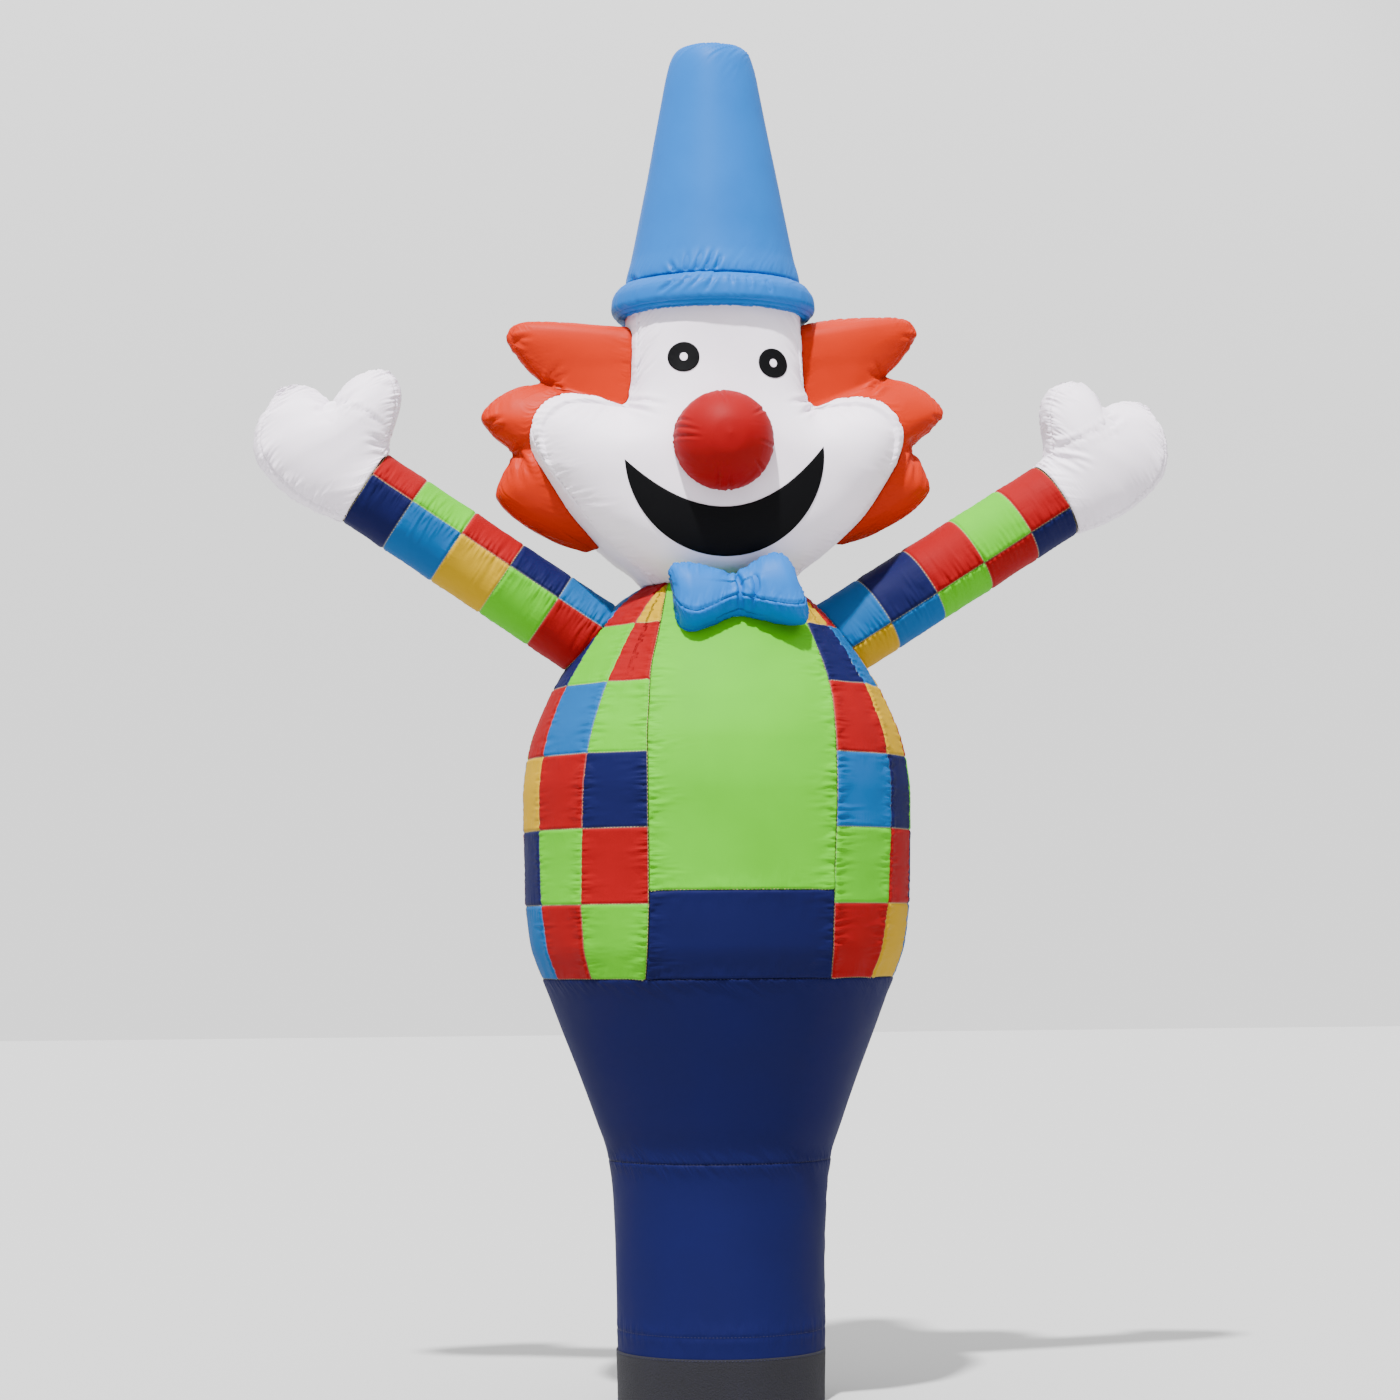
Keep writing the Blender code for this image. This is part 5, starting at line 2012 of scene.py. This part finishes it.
def build_hat():
    """The ring-shaped brim, the cone and its flat top."""
    parts = (
        # name, profile, row step, columns, how strongly each seam row gathers, first end
        ("hat_top", TOP_PROFILE, 0.0035, 160, {3: 0.6}, "pole"),
        ("hat_crown", CROWN_PROFILE, 0.0058, 320, {0: 1.0, 9: 0.35}, "open"),
        ("hat_brim", BRIM_PROFILE, 0.0032, 360, {0: 0.5, 5: 0.3, 7: 0.6}, "open"),
    )
    for name, profile, step, count, pulls, first_end in parts:
        curve, places = profile_curve(profile, step, HAT_PINCH, pulls)
        rows = [(places[i], pull) for i, pull in pulls.items()]
        angles = np.radians(180.0 + 360.0 * np.arange(count + 1) / count)
        seams = [(0, 0.5)] if name == "hat_crown" else []
        cloth = Cloth(turned_grid(curve, angles), True, seams, rows, (first_end, "open"))
        cloth.sewn_rows = cloth.sewn_rows[:1]
        cloth.crease(CREASES.get(name, ()), depth=0.0055, width=0.0048)
        sew(
            name,
            cloth,
            "sky blue nylon",
            "blue_cloth",
            thread="blue thread",
            reach=1.2,
            sag=0.003,
        )


# ---------------------------------------------------------------- studio


def build_stage():
    """A pale floor, soft light from the upper left, and the camera."""
    scene = bpy.context.scene
    work = bmesh.new()
    bmesh.ops.create_grid(work, x_segments=1, y_segments=1, size=30.0)
    mesh = bpy.data.meshes.new("floor")
    work.to_mesh(mesh)
    work.free()
    floor = bpy.data.objects.new("floor", mesh)
    scene.collection.objects.link(floor)
    paper, _, shader = new_finish("matt paper")
    shader.inputs["Base Color"].default_value = (*linear("#AAAAAA"), 1.0)
    shader.inputs["Roughness"].default_value = 0.9
    mesh.materials.append(paper)
    light_room(scene.air_dancer_studio)
    hang_key_light(scene.air_dancer_studio)
    scene.camera = make_camera()


def light_room(studio):
    """Even light that grows upwards, and a bright wall behind the figure."""
    scene = bpy.context.scene
    world = scene.world or bpy.data.worlds.new("studio")
    scene.world = world
    world.use_nodes = True
    tree = world.node_tree
    add = functools.partial(add_node, tree)
    way = add("ShaderNodeTexCoord").outputs["Generated"]
    parts = add("ShaderNodeSeparateXYZ", {0: way}).outputs
    upwards = {"From Min": 0.05, "From Max": 0.9, "To Min": studio.fill, "To Max": studio.top}
    glow = add(
        "ShaderNodeMapRange", {"Value": parts["Z"], **upwards}, interpolation_type="SMOOTHSTEP"
    )
    behind = {"From Min": 0.87, "From Max": 0.93, "To Min": 0.0, "To Max": studio.back}
    wall = add(
        "ShaderNodeMapRange", {"Value": parts["Y"], **behind}, interpolation_type="SMOOTHSTEP"
    )
    both = add("ShaderNodeMath", {0: glow, 1: wall}, operation="ADD")
    sky = tree.nodes["Background"]
    sky.inputs["Color"].default_value = (1.0, 1.0, 1.0, 1.0)
    tree.links.new(both.outputs[0], sky.inputs["Strength"])


def hang_key_light(studio):
    """The one light that gives shadows, a little soft."""
    lamp = bpy.data.lights.new("key", "SUN")
    lamp.energy = studio.key
    lamp.angle = math.radians(KEY_SPREAD_DEG)
    key = bpy.data.objects.new("key", lamp)
    bpy.context.scene.collection.objects.link(key)
    turn, high = studio.key_turn, studio.key_height
    away = Vector(
        (
            math.sin(turn) * math.cos(high),
            -math.cos(turn) * math.cos(high),
            math.sin(high),
        )
    )
    key.rotation_euler = away.to_track_quat("Z", "Y").to_euler()


def make_camera():
    """The camera at the picture's angle."""
    turn, tilt = math.radians(CAMERA_TURN_DEG), math.radians(CAMERA_TILT_DEG)
    roll = -math.radians(CAMERA_ROLL_DEG)
    right = Vector((math.cos(turn), math.sin(turn), 0.0))
    ahead = Vector((-math.sin(turn), math.cos(turn), 0.0))
    level = Vector((0.0, 0.0, 1.0))
    place = -ahead * CAMERA_AWAY - right * CAMERA_SIDE + level * CAMERA_Z
    look = ahead * math.cos(tilt) + level * math.sin(tilt)
    up = -ahead * math.sin(tilt) + level * math.cos(tilt)
    across = right * math.cos(roll) + up * math.sin(roll)
    upright = -right * math.sin(roll) + up * math.cos(roll)
    lens = bpy.data.cameras.new("camera")
    lens.sensor_width = SENSOR_MM
    lens.lens = FOCAL_PX * SENSOR_MM / PICTURE
    camera = bpy.data.objects.new("camera", lens)
    bpy.context.scene.collection.objects.link(camera)
    matrix = Matrix((across, upright, -look)).transposed().to_4x4()
    matrix.translation = place
    camera.matrix_world = matrix
    return camera


# ---------------------------------------------------------------- operators


class AIRDANCER_OT_lower_body(Operator):
    """Makes the foot, the trousers and the tape round the foot"""

    bl_idname = "air_dancer.lower_body"
    bl_label = "Lower body"

    def execute(self, context):
        build_lower_body()
        return {"FINISHED"}


class AIRDANCER_OT_front_panels(Operator):
    """Makes the belly panel and the waist panel"""

    bl_idname = "air_dancer.front_panels"
    bl_label = "Front panels"

    def execute(self, context):
        build_front_panels()
        return {"FINISHED"}


class AIRDANCER_OT_patchwork(Operator):
    """Makes the patchwork of both sides of the body"""

    bl_idname = "air_dancer.patchwork"
    bl_label = "Patchwork"

    def execute(self, context):
        for side in TURN:
            build_patchwork(side)
        return {"FINISHED"}


class AIRDANCER_OT_sleeves(Operator):
    """Makes both patchwork sleeves"""

    bl_idname = "air_dancer.sleeves"
    bl_label = "Sleeves"

    def execute(self, context):
        for side in TURN:
            build_sleeve(side)
        return {"FINISHED"}


class AIRDANCER_OT_hands(Operator):
    """Makes both mitts"""

    bl_idname = "air_dancer.hands"
    bl_label = "Hands"

    def execute(self, context):
        for side in TURN:
            build_hand(side)
        return {"FINISHED"}


class AIRDANCER_OT_head(Operator):
    """Makes the face, the sides and the back of the head"""

    bl_idname = "air_dancer.head"
    bl_label = "Head"

    def execute(self, context):
        build_head()
        return {"FINISHED"}


class AIRDANCER_OT_face_details(Operator):
    """Makes the mouth, the eyes and the pupils"""

    bl_idname = "air_dancer.face_details"
    bl_label = "Mouth and eyes"

    def execute(self, context):
        build_face_details()
        return {"FINISHED"}


class AIRDANCER_OT_nose(Operator):
    """Makes the round nose"""

    bl_idname = "air_dancer.nose"
    bl_label = "Nose"

    def execute(self, context):
        build_nose()
        return {"FINISHED"}


class AIRDANCER_OT_hair(Operator):
    """Makes the three spikes of hair on each side"""

    bl_idname = "air_dancer.hair"
    bl_label = "Hair"

    def execute(self, context):
        for side in TURN:
            build_hair(side)
        return {"FINISHED"}


class AIRDANCER_OT_bow_tie(Operator):
    """Makes the bow tie"""

    bl_idname = "air_dancer.bow_tie"
    bl_label = "Bow tie"

    def execute(self, context):
        build_bow_tie()
        return {"FINISHED"}


class AIRDANCER_OT_hat(Operator):
    """Makes the hat's brim, cone and top"""

    bl_idname = "air_dancer.hat"
    bl_label = "Hat"

    def execute(self, context):
        build_hat()
        return {"FINISHED"}


class AIRDANCER_OT_stage(Operator):
    """Makes the floor, the lights and the camera"""

    bl_idname = "air_dancer.stage"
    bl_label = "Studio"

    def execute(self, context):
        build_stage()
        return {"FINISHED"}


OPERATORS = (
    AIRDANCER_OT_stage,
    AIRDANCER_OT_lower_body,
    AIRDANCER_OT_front_panels,
    AIRDANCER_OT_patchwork,
    AIRDANCER_OT_sleeves,
    AIRDANCER_OT_hands,
    AIRDANCER_OT_head,
    AIRDANCER_OT_face_details,
    AIRDANCER_OT_nose,
    AIRDANCER_OT_hair,
    AIRDANCER_OT_bow_tie,
    AIRDANCER_OT_hat,
)


class AIRDANCER_PT_panel(Panel):
    """Lists the pieces of the figure and the settings of cloth and studio"""

    bl_idname = "AIRDANCER_PT_panel"
    bl_label = "Air dancer"
    bl_space_type = "VIEW_3D"
    bl_region_type = "UI"
    bl_category = "Air dancer"

    def draw(self, context):
        layout = self.layout
        for operator in OPERATORS:
            layout.operator(operator.bl_idname)
        for group in (context.scene.air_dancer_cloth, context.scene.air_dancer_studio):
            box = layout.box()
            for label in group.__annotations__:
                box.prop(group, label)


CLASSES = (AirDancerCloth, AirDancerStudio, *OPERATORS, AIRDANCER_PT_panel)


def register():
    """Registers the settings, the operators and the panel."""
    for each in CLASSES:
        bpy.utils.register_class(each)
    bpy.types.Scene.air_dancer_cloth = PointerProperty(type=AirDancerCloth)
    bpy.types.Scene.air_dancer_studio = PointerProperty(type=AirDancerStudio)


def unregister():
    """Takes away what register added."""
    del bpy.types.Scene.air_dancer_studio
    del bpy.types.Scene.air_dancer_cloth
    for each in reversed(CLASSES):
        bpy.utils.unregister_class(each)


def main():
    """Registers the add-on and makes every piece."""
    register()
    for operator in OPERATORS:
        group, name = operator.bl_idname.split(".")
        getattr(getattr(bpy.ops, group), name)()


if __name__ == "__main__":
    main()
